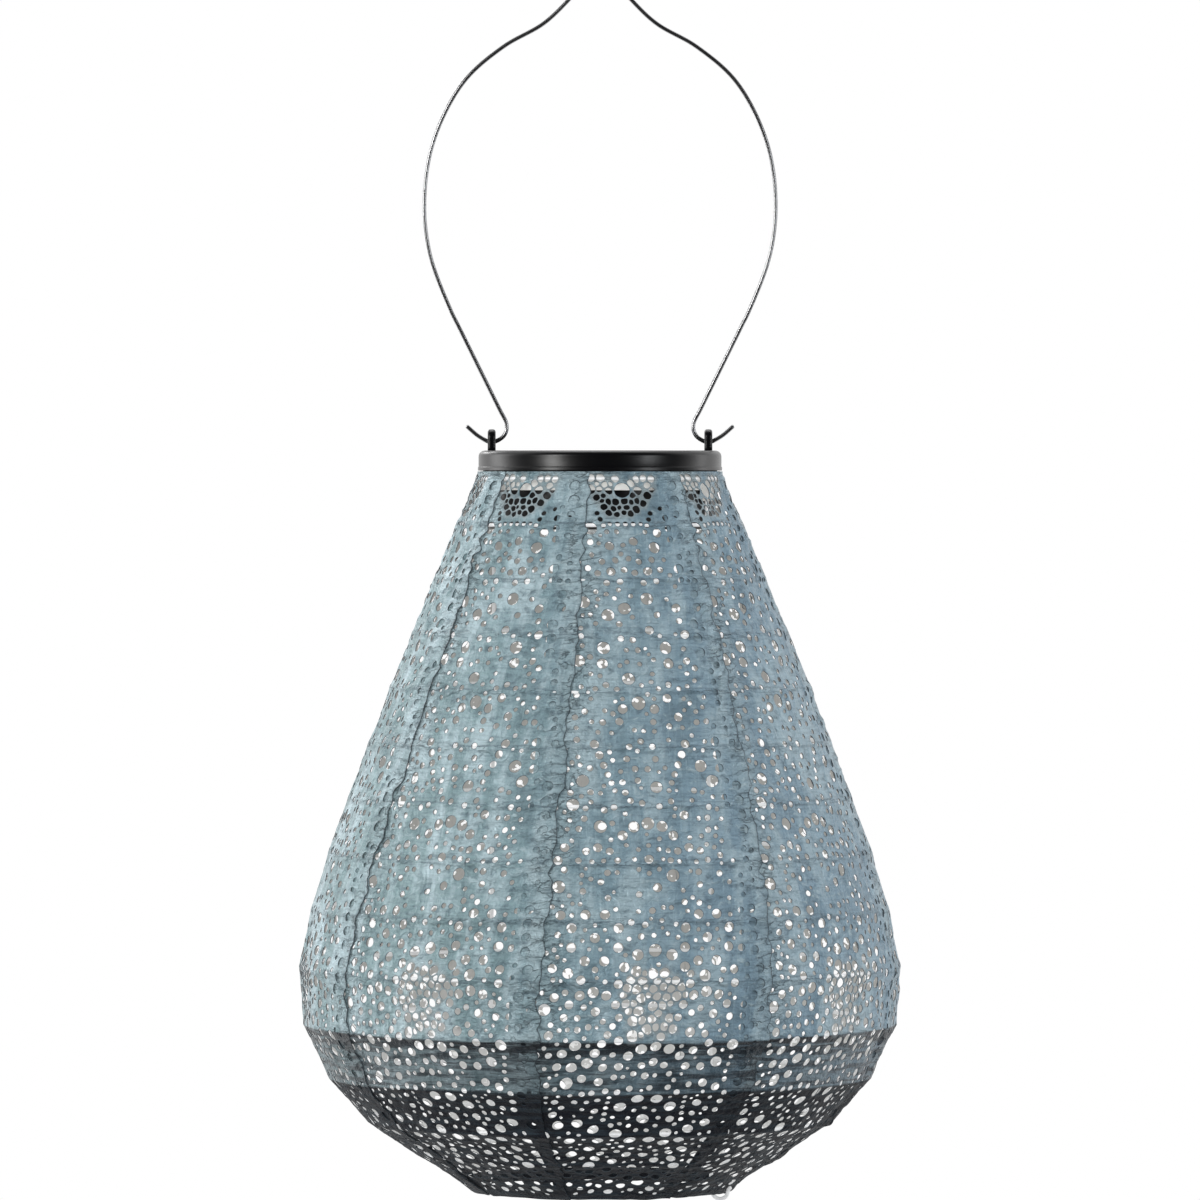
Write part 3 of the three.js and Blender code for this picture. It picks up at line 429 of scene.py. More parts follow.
def collar_finish(name, white, black):
    """White plastic whose flange and plug, above a height, are painted near black as the shadow in
    the gap under the cap.
    """
    look = Finish(name)
    height = look.parts(look.object)[2]
    # painted shadow: near black above this height
    flange = look.smooth(height, CAP_Z - 0.00175, CAP_Z - 0.0016)
    grain = look.noise(look.object, 1400, 2)
    tone = look.blend(flange, white, black)
    normal = look.bump(grain, 0.00001)
    return look.principled(tone, 0.42 + grain * 0.06, Normal=normal)


def panel_finish(name, color):
    """Dark blue cells in strips, with thin silver lines, under clear resin."""
    look = Finish(name)
    x, y, _ = look.parts(look.object)
    half_strip, half_finger, half_bus = 0.00688, 0.0011, 0.0135
    gaps = look.smooth(look.maths("PINGPONG", x + 0.0275, half_strip), 0.00022, 0.00034)
    lines = look.smooth(look.maths("PINGPONG", y + 0.5, half_finger), 0.00005, 0.00012)
    buses = look.smooth(look.maths("PINGPONG", y + 2 * half_bus, half_bus), 0.0003, 0.0004)
    inside_x = 1 - look.smooth(look.maths("ABSOLUTE", x), 0.02745, 0.0276)
    inside_y = 1 - look.smooth(look.maths("ABSOLUTE", y), 0.0270, 0.02715)
    cell = inside_x * inside_y * gaps
    crystal = look.node("ShaderNodeTexVoronoi", None, {"Vector": look.object, "Scale": 230})
    shade = look.node("ShaderNodeSeparateColor", None, {0: crystal.output("Color")})
    blue = look.blend(shade, color, (0.03, 0.065, 0.19))
    silver = look.blend(lines * buses, (0.42, 0.44, 0.46), blue)
    tone = look.blend(cell, (0.012, 0.013, 0.016), silver)
    dust = look.noise(look.object, 90, 4)
    return look.principled(tone, 0.1 + dust * 0.12, Coat_Weight=0.6, Coat_Roughness=0.04)


def board_finish(name, color):
    look = Finish(name)
    x, y, _ = look.parts(look.object)
    tracks = look.noise(look.vector(x, y * 6.0, 0.0), 320, 0)
    copper = look.smooth(tracks, 0.58, 0.6)
    tone = look.blend(copper, color, times(color, 2.1))
    return look.principled(tone, 0.32 + tracks * 0.1, Normal=look.bump(copper, 0.00003))


def cell_wrap_finish(name, color):
    look = Finish(name)
    x = look.parts(look.object)[0]
    band = look.smooth(x, 0.0165, 0.0168)
    scuff = look.noise(look.object, 260, 4)
    tone = look.blend(band, color, (0.75, 0.76, 0.74))
    tone = look.blend(look.smooth(scuff, 0.62, 0.8) * 0.3, tone, (0.4, 0.42, 0.4))
    return look.principled(tone, 0.3 + scuff * 0.12, Metallic=0.35)


def tin_finish(name, color):
    return plain_finish(name, color, (240, 3, 0.14), (0.6, 0.7), 0.26, Metallic=1.0)


def clear_finish(name):
    look = Finish(name)
    ripple = look.noise(look.object, 300, 2)
    normal = look.bump(ripple, 0.00003)
    sockets = {"Transmission Weight": 0.85, "IOR": 1.49, "Normal": normal}
    return look.principled((0.92, 0.95, 0.96), 0.08 + ripple * 0.05, **sockets)


def cloth_finish(name, settings):
    """Crinkled pearl coating, blue grey above and near black on the lowest hoops, with painted
    sheen on its ridges and painted shade in its creases.
    """
    look = Finish(name)
    x, _, z = look.parts(look.object)
    across, down, _ = look.parts(look.attribute("laid", "Vector"))
    rim, slack, seam = (look.attribute(name) for name in ("rim", "slack", "seam"))
    fold = look.vector(across, down * 0.16, 0.0)
    weft = look.vector(across * 0.1, down, 0.0)
    folds = look.noise(fold, 75, 4, 0.62, 0.3)
    cloud = look.noise(look.object, 38, 4, 0.6)
    weave = look.noise(weft, 800, 3, 0.6)
    warp = look.noise(look.vector(across, down * 0.08, 3.0), 800, 3, 0.6)
    crumple = look.noise(look.vector(across * 0.75, down, 5.0), 210, 4, 0.62, 0.35)
    crease = look.noise(look.vector(across * 0.42 + down * 0.25, down, 9.0), 120, 4, 0.6, 0.3)
    crease = 1 - look.smooth(look.maths("ABSOLUTE", crease - 0.5), 0.0, 0.02)
    tight = 1 - look.smooth(slack, 0.0, 0.4)
    gathered = look.maths("MAXIMUM", seam, tight * 0.7)

    # coats of colour, one over another: painted side light, painted sheen and glints on the ridges,
    # painted shade in the valleys, crumples, seam creases and tight bands by the hoops, paler seam
    # strips and random weave tone
    # painted side light: the coating is greener and its ridges paler towards -X, where the left
    # lamps fall
    painted_side_shade = look.smooth(x + (folds - 0.5) * 0.1, -0.1, 0.07)
    ridges = look.smooth(folds * 0.65 + cloud * 0.35, 0.45, 0.6)
    shaded_valleys = look.smooth(folds * 0.5 + cloud * 0.5, 0.47, 0.34)
    glints = look.smooth(crumple + (weave - 0.5) * 0.3, 0.54, 0.72)
    crease_shadow_lines = crease * look.smooth(gathered, 0.08, 0.75) * look.smooth(crumple, 0.4, 0.55)
    pale, deep = settings.pale_color, settings.deep_color
    coats = [
        # painted sheen on the ridges, fading towards +X as painted side light
        (ridges * (0.95 - 0.45 * painted_side_shade), pale),
        # painted shade in the valleys
        (shaded_valleys * 0.34, deep),
        (look.smooth(seam, 0.2, 0.9) * 0.32, pale),
        (look.smooth(weave, 0.42, 0.7) * 0.34, deep),
        (look.smooth(warp, 0.5, 0.75) * 0.22, pale),
        # painted glints on the crumples' peaks, and painted shade in their hollows
        (glints * 0.6, pale),
        (look.smooth(crumple, 0.47, 0.3) * 0.6, deep),
        # painted shadow lines in the creases by the seams
        (crease_shadow_lines * 0.6, settings.rim_color),
        # painted shade in the tight bands by the hoops
        (tight * look.smooth(weave, 0.46, 0.6) * 0.42, deep),
    ]

    # the dark foot, the rims of holes and seams as singed edges with painted shadow, and the webs
    # between crowded ones
    wave = (look.noise(weft, 90, 2, 0.5) - 0.5) * 0.004
    dusk = look.smooth(z + wave, settings.dusk_start, settings.dusk_start - 0.0012)
    night = look.smooth(z + wave, settings.night_start, settings.night_start - 0.0014)
    near_line = look.smooth(z, settings.dusk_start - 0.011, settings.dusk_start)
    streak = look.smooth(look.noise(weft, 330, 4, 0.68) + near_line * 0.12, 0.44, 0.6)
    coats += [
        (dusk * (0.46 + 0.4 * streak + 0.12 * near_line), settings.night_color),
        # singed edges with painted shadow round holes and at the seam's edge, and paler thin webs
        (look.maths("MAXIMUM", rim, 0.0) * 0.9, settings.rim_color),
        (look.maths("MAXIMUM", 0 - rim, 0.0) * 0.9, settings.web_color),
    ]
    color = look.blend(painted_side_shade, settings.left_color, settings.right_color)
    for share, coat in coats:
        color = look.blend(share, color, coat)

    # the crinkles, and one shader above the near black foot and one in it
    height = crumple * (2.1 + 1.3 * seam + 0.9 * tight) + folds * 1.8 + crease * seam * -0.5
    height = height + weave * (0.1 + tight * 0.2) + warp * 0.07
    normal = look.bump(height, settings.crinkle_height)
    rough = 0.32 + weave * 0.1 + (crumple - 0.5) * 0.16
    sockets = {"Base Color": color, "Roughness": rough, "Metallic": 0.36, "Normal": normal}
    day = look.node("ShaderNodeBsdfPrincipled", None, sockets)
    tone = look.blend(streak * weave * 0.35, settings.night_color, deep)
    sockets = {"Base Color": tone, "Roughness": 0.5 + crumple * 0.2, "Normal": normal}
    dark = look.node("ShaderNodeBsdfPrincipled", None, {**sockets, "Specular IOR Level": 0.22})
    mixed = look.node("ShaderNodeMixShader", None, {0: night, 1: day, 2: dark})
    look.node("ShaderNodeOutputMaterial", None, {0: mixed})
    return look.material


def lining_finish(name, color):
    """Woven back of the cloth, paler at its foot, with painted pale flecks where light comes
    through it and a painted glow that stands in for light shining through the cloth.
    """
    look = Finish(name)
    across, down, _ = look.parts(look.attribute("laid", "Vector"))
    weave = look.noise(look.vector(across, down * 0.3, 0.0), 900, 2)
    cloud = look.noise(look.object, 30, 4, 0.6)
    creases = look.noise(look.object, 85, 5, 0.62, 0.6)
    tone = look.blend(cloud * 0.7, color, times(color, 0.7))
    tone = look.blend(look.smooth(weave, 0.45, 0.7) * 0.25, tone, times(color, 0.6))
    low = look.smooth(look.parts(look.object)[2], -0.46, -0.53)
    tone = look.blend(low * 0.5, tone, (0.86, 0.87, 0.88))
    lit = look.smooth(look.noise(look.vector(across, down, 2.0), 260, 2, 0.5), 0.57, 0.6)
    lit = lit * (1 - 0.8 * low)
    tone = look.blend(lit * 0.8, tone, (0.9, 0.9, 0.9))
    normal = look.bump(creases + weave * 0.1, 0.0006)
    # painted glow: a quarter of the lining's colour, and more at the flecks, given off as light
    # through the cloth
    dim = look.blend(0.76, tone, (0, 0, 0))
    glow = look.blend(lit * 0.8, dim, (0.8, 0.8, 0.8))
    sockets = {"Normal": normal, "Emission Color": glow, "Emission Strength": 1.0}
    return look.principled(tone, 0.7, **sockets)


def cut_edge_finish(name, color):
    look = Finish(name)
    burn = look.noise(look.object, 500, 2)
    return look.principled(look.blend(burn, color, times(color, 2.5)), 0.6)


# Settings


def length_setting(name, description, default, low, high):
    return FloatProperty(
        name=name, description=description, default=default, min=low, max=high, unit="LENGTH"
    )


def color_setting(name, description, default):
    return FloatVectorProperty(
        name=name, description=description, default=default, min=0, max=1, size=3, subtype="COLOR"
    )


# Bail


class BailSettings(bpy.types.PropertyGroup):
    wire_radius: length_setting(
        "Wire radius", "Half the thickness of the bail's spring wire", 0.001, 0.0005, 0.002
    )
    steel_color: color_setting("Steel", "Colour of the bright spring steel", (0.5, 0.5, 0.51))


BAIL_EYE_Z = -0.2174
BAIL_FOOT = [(11.8, 7.6), (5.7, 2.5), (0, 0), (-5.0, 2.3), (-6.8, 5.5), (-6.7, 9.0)]
BAIL_BOW = [
    (69.03, 60.72), (78.63, 86.27), (81.4, 110.73), (77.33, 138.68), (63.49, 166.42),
    (44.93, 183.02), (26.05, 193.94), (14.08, 205.3), (5.7, 215.12),
]
BAIL_TOP = 218.4


def bail_line():
    """The middle of the bail's wire, from the tip of one foot over the top to the other."""
    foot = [Vector((EYE_X + x * MM, 0, BAIL_EYE_Z + z * MM)) for x, z in BAIL_FOOT]
    bow = [Vector((x * MM, 0, BAIL_EYE_Z + z * MM)) for x, z in BAIL_BOW]
    arm = [foot[-1].lerp(bow[0], share) for share in (0.12, 0.5, 0.88)]
    right = [*foot, *arm, *bow]
    left = [Vector((-p.x, 0, p.z)) for p in reversed(right)]
    return through([*right, Vector((0, 0, BAIL_EYE_Z + BAIL_TOP * MM)), *left], 10)


class LANTERN_OT_bail(bpy.types.Operator):
    """Makes the springy wire bail with its two hooked feet"""

    bl_idname = "lantern.bail"
    bl_label = "Make the bail"

    def execute(self, context):
        settings = context.scene.lantern_bail
        color, grain = settings.steel_color, (90, 2, 0.12, 0.0)
        steel = plain_finish(
            "spring_steel", color, (30, 3, 0.06), (0.45, 0.6), 0.18, grain, Metallic=1.0
        )
        obj = wire_piece("bail_wire", bail_line(), settings.wire_radius, steel, 16)
        stand_for(obj, "bail", "bail")
        return {"FINISHED"}


# Cap


class CapSettings(bpy.types.PropertyGroup):
    radius: length_setting("Radius", "Outer radius of the cap", 0.0566, 0.05, 0.06)
    edge_round: length_setting(
        "Edge round", "How far the upper edge is rounded in from the side", 0.003, 0.001, 0.004
    )
    plastic_color: color_setting(
        "Plastic", "Colour of the satin black moulding", (0.0012, 0.0012, 0.0018)
    )
    panel_color: color_setting(
        "Solar cells", "Colour of the cells under the resin", (0.012, 0.02, 0.06)
    )


CAP_HEIGHT = 0.0093
CAP_WALL = 0.002
CAP_LIP = 0.0003
CAP_HOLLOW = 0.0049  # depth of the hollow under the cap's plate
PANEL_HALF = 0.0307
PANEL_CORNER = 0.003
PANEL_THICKNESS = 0.0022
PANEL_GAP = 0.0003
PANEL_GLUE = 0.0004
EAR_HALF_WIDTH = 0.004
EAR_HALF_THICKNESS = 0.00185
EYE_Z = 0.0039  # over the cap's top
CAP_SEGMENTS = 192
SCREW_AZIMUTHS = [math.radians(degrees) for degrees in (70, -70, 180)]
SCREW_CIRCLE = 0.041
SCREW_HEAD_Z = CAP_Z - 0.0163
SCREW_HEAD_RADIUS = 0.0028
LEAD_RADIUS = 0.0006
SPRING_WIRE_RADIUS = 0.00035
WHITE = (0.8, 0.8, 0.78)
SOOT = (0.012, 0.012, 0.013)


def rounded_square(half, corner, z, count):
    """A ring of points at even azimuths on a square with rounded corners."""
    ring = []
    for azimuth in turns(count):
        c, s = abs(math.sin(azimuth)), abs(math.cos(azimuth))
        flat = half / max(c, s)
        middle = half - corner
        if flat * min(c, s) > middle:
            along = (c + s) * middle
            flat = along + math.sqrt(max(along**2 - 2 * middle**2 + corner**2, 0))
        ring.append(polar(flat, azimuth, z))
    return ring


def cap_shell(settings):
    """The cap, from the floor of the panel's pocket over its side to the underside of its plate."""
    count, top, chamfer = CAP_SEGMENTS, CAP_Z + CAP_HEIGHT, 0.0003
    pocket = PANEL_HALF + PANEL_GAP
    floor = top - PANEL_THICKNESS - PANEL_GLUE
    side = settings.radius - CAP_LIP
    rings = [
        rounded_square(pocket - chamfer, PANEL_CORNER, floor, count),
        rounded_square(pocket, PANEL_CORNER, floor + chamfer, count),
        rounded_square(pocket, PANEL_CORNER, top - chamfer, count),
        rounded_square(pocket + 0.0001, PANEL_CORNER, top - 0.0001, count),
        rounded_square(pocket + chamfer, PANEL_CORNER + chamfer, top, count),
        rounded_square(pocket + 0.0015, PANEL_CORNER + 0.0015, top, count),
    ]
    for degrees in range(90, -1, -10):
        angle = math.radians(degrees)
        inward = settings.edge_round * (1 - math.cos(angle))
        rings.append(turned_ring(side - inward, top - 0.0028 * (1 - math.sin(angle)), count))
    outer, inner = settings.radius, settings.radius - CAP_WALL
    turned = [
        (side, 0.0019), (side + 0.0001, 0.0017), (outer - 0.00004, 0.00155),
        (outer, 0.0014), (outer, 0.0002), (outer - 0.0002, 0),
        (inner + 0.0002, 0), (inner, 0.0002), (inner, 0.0046),
        (inner - chamfer, CAP_HOLLOW), (0.03, CAP_HOLLOW), (0.004, CAP_HOLLOW),
    ]
    rings += [turned_ring(radius, CAP_Z + z, count) for radius, z in turned]
    return loft(rings)


def screw_boss(azimuth):
    """A boss under the cap's plate that one of the drum's screws bites in."""
    place = polar(SCREW_CIRCLE, azimuth, 0)
    sections = [(0.0017, -0.002), (0.0017, -0.0097), (0.0032, -0.0097), (0.0034, -0.0095)]
    sections += [(0.0034, 0.0052), (0.001, 0.0052), (0.001, -0.002)]
    rings = [[p + place for p in turned_ring(r, CAP_Z + z, 24)] for r, z in sections]
    return loft(rings, looped=True)


def ear_outline():
    """Points round an ear from its foot over its top, from the middle of the eye."""
    half = EAR_HALF_WIDTH
    foot = half + 0.0009
    corner = [(foot, -0.0012), (foot, 0.0), (half + 0.0003, 0.0004), (half, 0.0011)]
    arc = [math.radians(a) for a in range(0, 181, 12)]
    over = [(half * math.cos(a), 0.0059 + half * math.sin(a)) for a in arc]
    right = [*corner, *over[:1]]
    left = [(-y, z) for y, z in reversed(corner)]
    return [(y, z - EYE_Z) for y, z in [*right, *over[1:], *left]]


def reach_of(outline, angle):
    """How far the outline is from the middle in one direction."""
    dy, dz = math.cos(angle), math.sin(angle)
    found = 0.0
    for (y1, z1), (y2, z2) in zip(outline, [*outline[1:], outline[0]]):
        ey, ez = y2 - y1, z2 - z1
        cross = dy * ez - dz * ey
        if abs(cross) < 1e-12:
            continue
        reach = (y1 * ez - z1 * ey) / cross
        along = (y1 * dz - z1 * dy) / cross
        if reach > 0 and -1e-9 <= along <= 1 + 1e-9:
            found = max(found, reach)
    return found


def ear_shell(side):
    """One ear: a thick plate with well rounded edges and an eye for the bail."""
    outline = ear_outline()
    count, bore = 60, 0.00165
    thick, outer, inner = EAR_HALF_THICKNESS, 0.00125, 0.0005
    rings = []
    for angle in turns(count):
        edge = reach_of(outline, angle)
        rim = [(edge, -outer, 90 - 22.5 * step) for step in range(9)]
        eye = [(bore, inner, 45 * step - 90) for step in range(5)]
        ring = []
        for start, rounding, degrees in [*rim, *eye]:
            turn = math.radians(degrees)
            radius = start + rounding * (1 - math.cos(turn))
            across = math.copysign(thick - abs(rounding), turn) if degrees else 0.0
            across += abs(rounding) * math.sin(turn)
            y, z = radius * math.cos(angle), radius * math.sin(angle)
            ring.append(Vector((side * EYE_X + across, y, CAP_Z + CAP_HEIGHT + EYE_Z + z)))
        rings.append(ring)
    return loft(rings, looped=True)


def screw_recipe():
    """Slotted screws, one on each point, pointing up."""
    radius = ("Float", SCREW_HEAD_RADIUS)
    inputs = {"Head radius": radius, "Screw": ("Object", None), "Finish": ("Material", None)}
    tree = Recipe("Screws on points", inputs)
    model = tree.node("GeometryNodeObjectInfo", None, {"Object": tree.input("Screw")})
    scale = tree.input("Head radius") / SCREW_HEAD_RADIUS
    sockets = {"Points": tree.input("Geometry"), "Instance": model.output("Geometry")}
    sockets["Scale"] = tree.vector(scale, scale, 1.0)
    return tree.finish(tree.node("GeometryNodeInstanceOnPoints", None, sockets))


def screw_model():
    """A slotted pan head and a threaded shank, with the head's face at z 0 and pointing down."""
    count, rings = 48, []
    slot, slot_depth, radius = 0.0004, 0.001, SCREW_HEAD_RADIUS
    face = ((0.05, 0.0), (0.35, 0.0), (0.6, 0.00005), (0.8, 0.0002), (0.93, 0.0005), (1, 0.0009))

    def head_point(r, azimuth, z):
        point = polar(r, azimuth, z)
        if abs(point.y) < slot:
            point.z = max(point.z, slot_depth)
        return point

    for share, z in face:
        rings.append([head_point(radius * share, azimuth, z) for azimuth in turns(count)])
    turned = [(radius, 0.0019), (radius - 0.0001, 0.002), (0.0013, 0.002)]
    threads, steps = 11, 4
    for k in range(threads * steps):
        groove = 0.00022 if k % steps == 0 else 0.0
        turned.append((0.0014 - groove, 0.0022 + 0.0110 * k / (threads * steps)))
    turned.append((0.0007, 0.014))
    rings += [turned_ring(r, z, count) for r, z in turned]
    return solid("screw_model", loft(rings))


def drum_screws(steel):
    model = screw_model()
    values = {"Head radius": SCREW_HEAD_RADIUS, "Screw": model, "Finish": steel}
    for i, azimuth in enumerate(SCREW_AZIMUTHS, 1):
        point = polar(SCREW_CIRCLE, azimuth, SCREW_HEAD_Z)
        obj = new_object(f"drum_screw_{i}_dressed", [point])
        run_recipe(obj, screw_recipe(), values)
        smooth_to(obj, 35)
        stand_for(obj, "cap", f"drum_screw_{i}")
    bpy.data.objects.remove(model)


def panel_plate(material):
    top = CAP_Z + CAP_HEIGHT - 0.0001
    sizes = [(0.0004, -PANEL_THICKNESS), (0, -PANEL_THICKNESS + 0.0004), (0, -0.0006)]
    sizes += [(0.00008, -0.00028), (0.00028, -0.00008), (0.0006, 0)]
    rings = [rounded_square(PANEL_HALF - d, PANEL_CORNER - d, top + z, 96) for d, z in sizes]
    return wear(smooth_to(solid("solar_panel_resin", loft(rings)), 30), material)


def drum_pieces(black):
    """The drum and what is in it, each a clean copy of its CAD node with its edges rounded."""
    white = plain_finish(
        "white_plastic", WHITE, (60, 3, 0.1), (0.35, 0.86), 0.42, (1800, 2, 0.0, 0.00001)
    )
    rubber = plain_finish(
        "seal_rubber", SOOT, (900, 3, 0.15), (1.0, 2.2), 0.75, (900, 3, 0.0, 0.00003)
    )
    tin = tin_finish("plated_tin", (0.62, 0.61, 0.58))
    clear = clear_finish("clear_moulding")
    wrap = cell_wrap_finish("cell_wrap", (0.1, 0.26, 0.13))
    board = board_finish("board_green", (0.02, 0.12, 0.05))
    rows = [
        ("battery_drum", "cap", "black_plastic", black, 0.0003),
        ("battery_door", "battery_door", "black_plastic", black, 0.00025),
        ("cap_seal", "cap", "seal_rubber", rubber, 0.0),
        ("spacer_ring", "cap", "white_plastic", white, 0.0002),
        ("rechargeable_cell", "cap", "cell_wrap", wrap, 0.0003),
        ("contact_plate", "cap", "hardware_steel", tin, 0.0),
        ("circuit_board", "cap", "board_green", board, 0.0),
        ("led", "cap", "clear_plastic", clear, 0.0),
        ("lens", "cap", "clear_plastic", clear, 0.0),
        ("switch_body", "cap", "hardware_steel", tin, 0.0002),
        ("switch_slider", "switch_slider", "black_plastic", black, 0.0002),
    ]
    for node, body, slot, material, bevel in rows:
        obj = wear(clean_copy(node, bevel), material)
        stand_for(obj, body, node)


def lead_line(side):
    """A lead from the solar panel down to the board, bowed out from the axis."""
    top, bottom = CAP_Z + CAP_HEIGHT - 0.0026, CAP_Z - 0.0167
    x = side * 0.0013
    stops = ((1, 1), (0.75, 2.5), (0.25, 2.5), (0, 1))
    points = [Vector((x * out, 0, bottom + share * (top - bottom))) for share, out in stops]
    return through(points, 8)


def spring_line():
    """The conical contact spring, from its wide end on the bay's wall to the cell."""
    low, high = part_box("contact_spring")
    middle = (low + high) / 2
    wire, narrow, coils, steps = SPRING_WIRE_RADIUS, 0.0018, 4, 160
    wide = (high.y - low.y) / 2 - wire
    start, run = low.x + wire, high.x - low.x - 2 * wire
    line = []
    for i in range(steps + 1):
        share = i / steps
        angle = 2 * math.pi * coils * share
        radius = wide + (narrow - wide) * share
        y, z = radius * math.cos(angle), radius * math.sin(angle)
        line.append(Vector((start + run * share, middle.y + y, middle.z + z)))
    return line


class LANTERN_OT_cap(bpy.types.Operator):
    """Makes the solar cap, the battery drum and what they hold"""

    bl_idname = "lantern.cap"
    bl_label = "Make the cap"

    def execute(self, context):
        settings = context.scene.lantern_cap
        color, grain = settings.plastic_color, (2600, 2, 0.06, 0.000012)
        black = plain_finish("satin_black_plastic", color, (45, 3, 0.1), (0.5, 1.7), 0.22, grain)
        bosses = [screw_boss(azimuth) for azimuth in SCREW_AZIMUTHS]
        shells = [cap_shell(settings), ear_shell(1), ear_shell(-1), *bosses]
        cap = wear(smooth_to(solid("cap_housing_moulded", *shells), 38), black)
        stand_for(cap, "cap", "cap_housing")
        panel = panel_plate(panel_finish("solar_panel_face", settings.panel_color))
        stand_for(panel, "cap", "solar_panel")
        steel = tin_finish("screw_steel", (0.6, 0.6, 0.59))
        drum_screws(steel)
        drum_pieces(black)
        for name, side, color in (("red", 1, (0.42, 0.02, 0.015)), ("black", -1, SOOT)):
            slot, node = f"{name}_insulation", f"panel_lead_{name}"
            sleeve = plain_finish(slot, color, (400, 2, 0.12), (0.4, 0.6), 0.4)
            lead = wire_piece(f"{node}_dressed", lead_line(side), LEAD_RADIUS, sleeve, 10)
            stand_for(lead, "cap", node)
        line = spring_line()
        spring = wire_piece("contact_spring_dressed", line, SPRING_WIRE_RADIUS, steel, 8)
        stand_for(spring, "cap", "contact_spring")
        return {"FINISHED"}


# Hoops, collar and spreader legs


class WireSettings(bpy.types.PropertyGroup):
    hoop_wire_radius: length_setting(
        "Hoop wire radius", "Half the thickness of the hoops' wire", 0.0009, 0.0005, 0.001
    )
    leg_wire_radius: length_setting(
        "Leg wire radius", "Half the thickness of the spreader legs' wire", 0.0009, 0.0005, 0.001
    )
    zinc_color: color_setting(
        "Plating", "Colour of the pale plated wire of the hoops and legs", (0.82, 0.83, 0.84)
    )


# painted glow of the hoops and legs, so that they show bright through the holes
HOOP_GLOW = 0.2
LEG_AZIMUTHS = (math.radians(63), math.radians(-117))


def ring_centre(node):
    """Radius and height of the middle of a hoop's wire."""
    points = np.array([v.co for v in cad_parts[node].data.vertices])
    radii = np.hypot(points[:, 0], points[:, 1])
    middle = (radii.max() + radii.min()) / 2
    return Vector((middle, (points[:, 2].max() + points[:, 2].min()) / 2))


def leg_line(azimuth):
    """A leg from its socket in the collar down to its hook round the mouth ring."""
    ring = ring_centre("mouth_ring")
    hook = Vector((ring.x + 0.0003, ring.y - 0.0009))
    round_radius = 0.0045
    socket = 0.0552
    top = CAP_Z - 0.0079
    inner = hook.x - round_radius
    stops = [
        (socket, top),
        (socket, top - 0.007),
        ((socket + inner) / 2, (top + hook.y) / 2),
        (inner, hook.y + 4 * round_radius),
        (inner, hook.y + round_radius),
    ]
    for degrees in (180, 225, 270, 315, 360):
        angle = math.radians(degrees)
        across, up = round_radius * math.cos(angle), round_radius * math.sin(angle)
        stops.append((hook.x + across, hook.y + up))
    stops.append((hook.x + round_radius + 0.0012, hook.y + 0.0012))
    return through([polar(radius, azimuth, z) for radius, z in stops], 8)


class LANTERN_OT_wires(bpy.types.Operator):
    """Makes the collar, the hoops in the cloth, the mouth ring and the two spreader legs"""

    bl_idname = "lantern.wires"
    bl_label = "Make the hoops and legs"

    def execute(self, context):
        settings = context.scene.lantern_wires
        # the hoops' and legs' glow is painted light
        sockets = {"Metallic": 0.25, "Emission Strength": HOOP_GLOW}
        color = settings.zinc_color
        bright = plain_finish("zinc_plated_wire", color, (160, 3, 0.1), (0.4, 0.8), 0.36, **sockets)
        for node in ("top_hoop", *HOOP_NODES, "mouth_ring"):
            centre = ring_centre(node)
            line = turned_ring(centre.x, centre.y, 144)
            radius = settings.hoop_wire_radius
            hoop = wire_piece(f"{node}_wire", line, radius, bright, 10, looped=True)
            stand_for(hoop, "shade", node)
        for i, azimuth in enumerate(LEG_AZIMUTHS, 1):
            node, line = f"spreader_leg_{i}", leg_line(azimuth)
            leg = wire_piece(f"{node}_wire", line, settings.leg_wire_radius, bright, 14)
            stand_for(leg, "shade", node)
        # the near black is painted shadow on the flange, in the gap under the cap
        white = collar_finish("collar_plastic", WHITE, (0.012, 0.012, 0.014))
        collar = wear(clean_copy("shade_collar", 0.00015), white)
        stand_for(collar, "shade", "shade_collar")
        return {"FINISHED"}


# Cloth


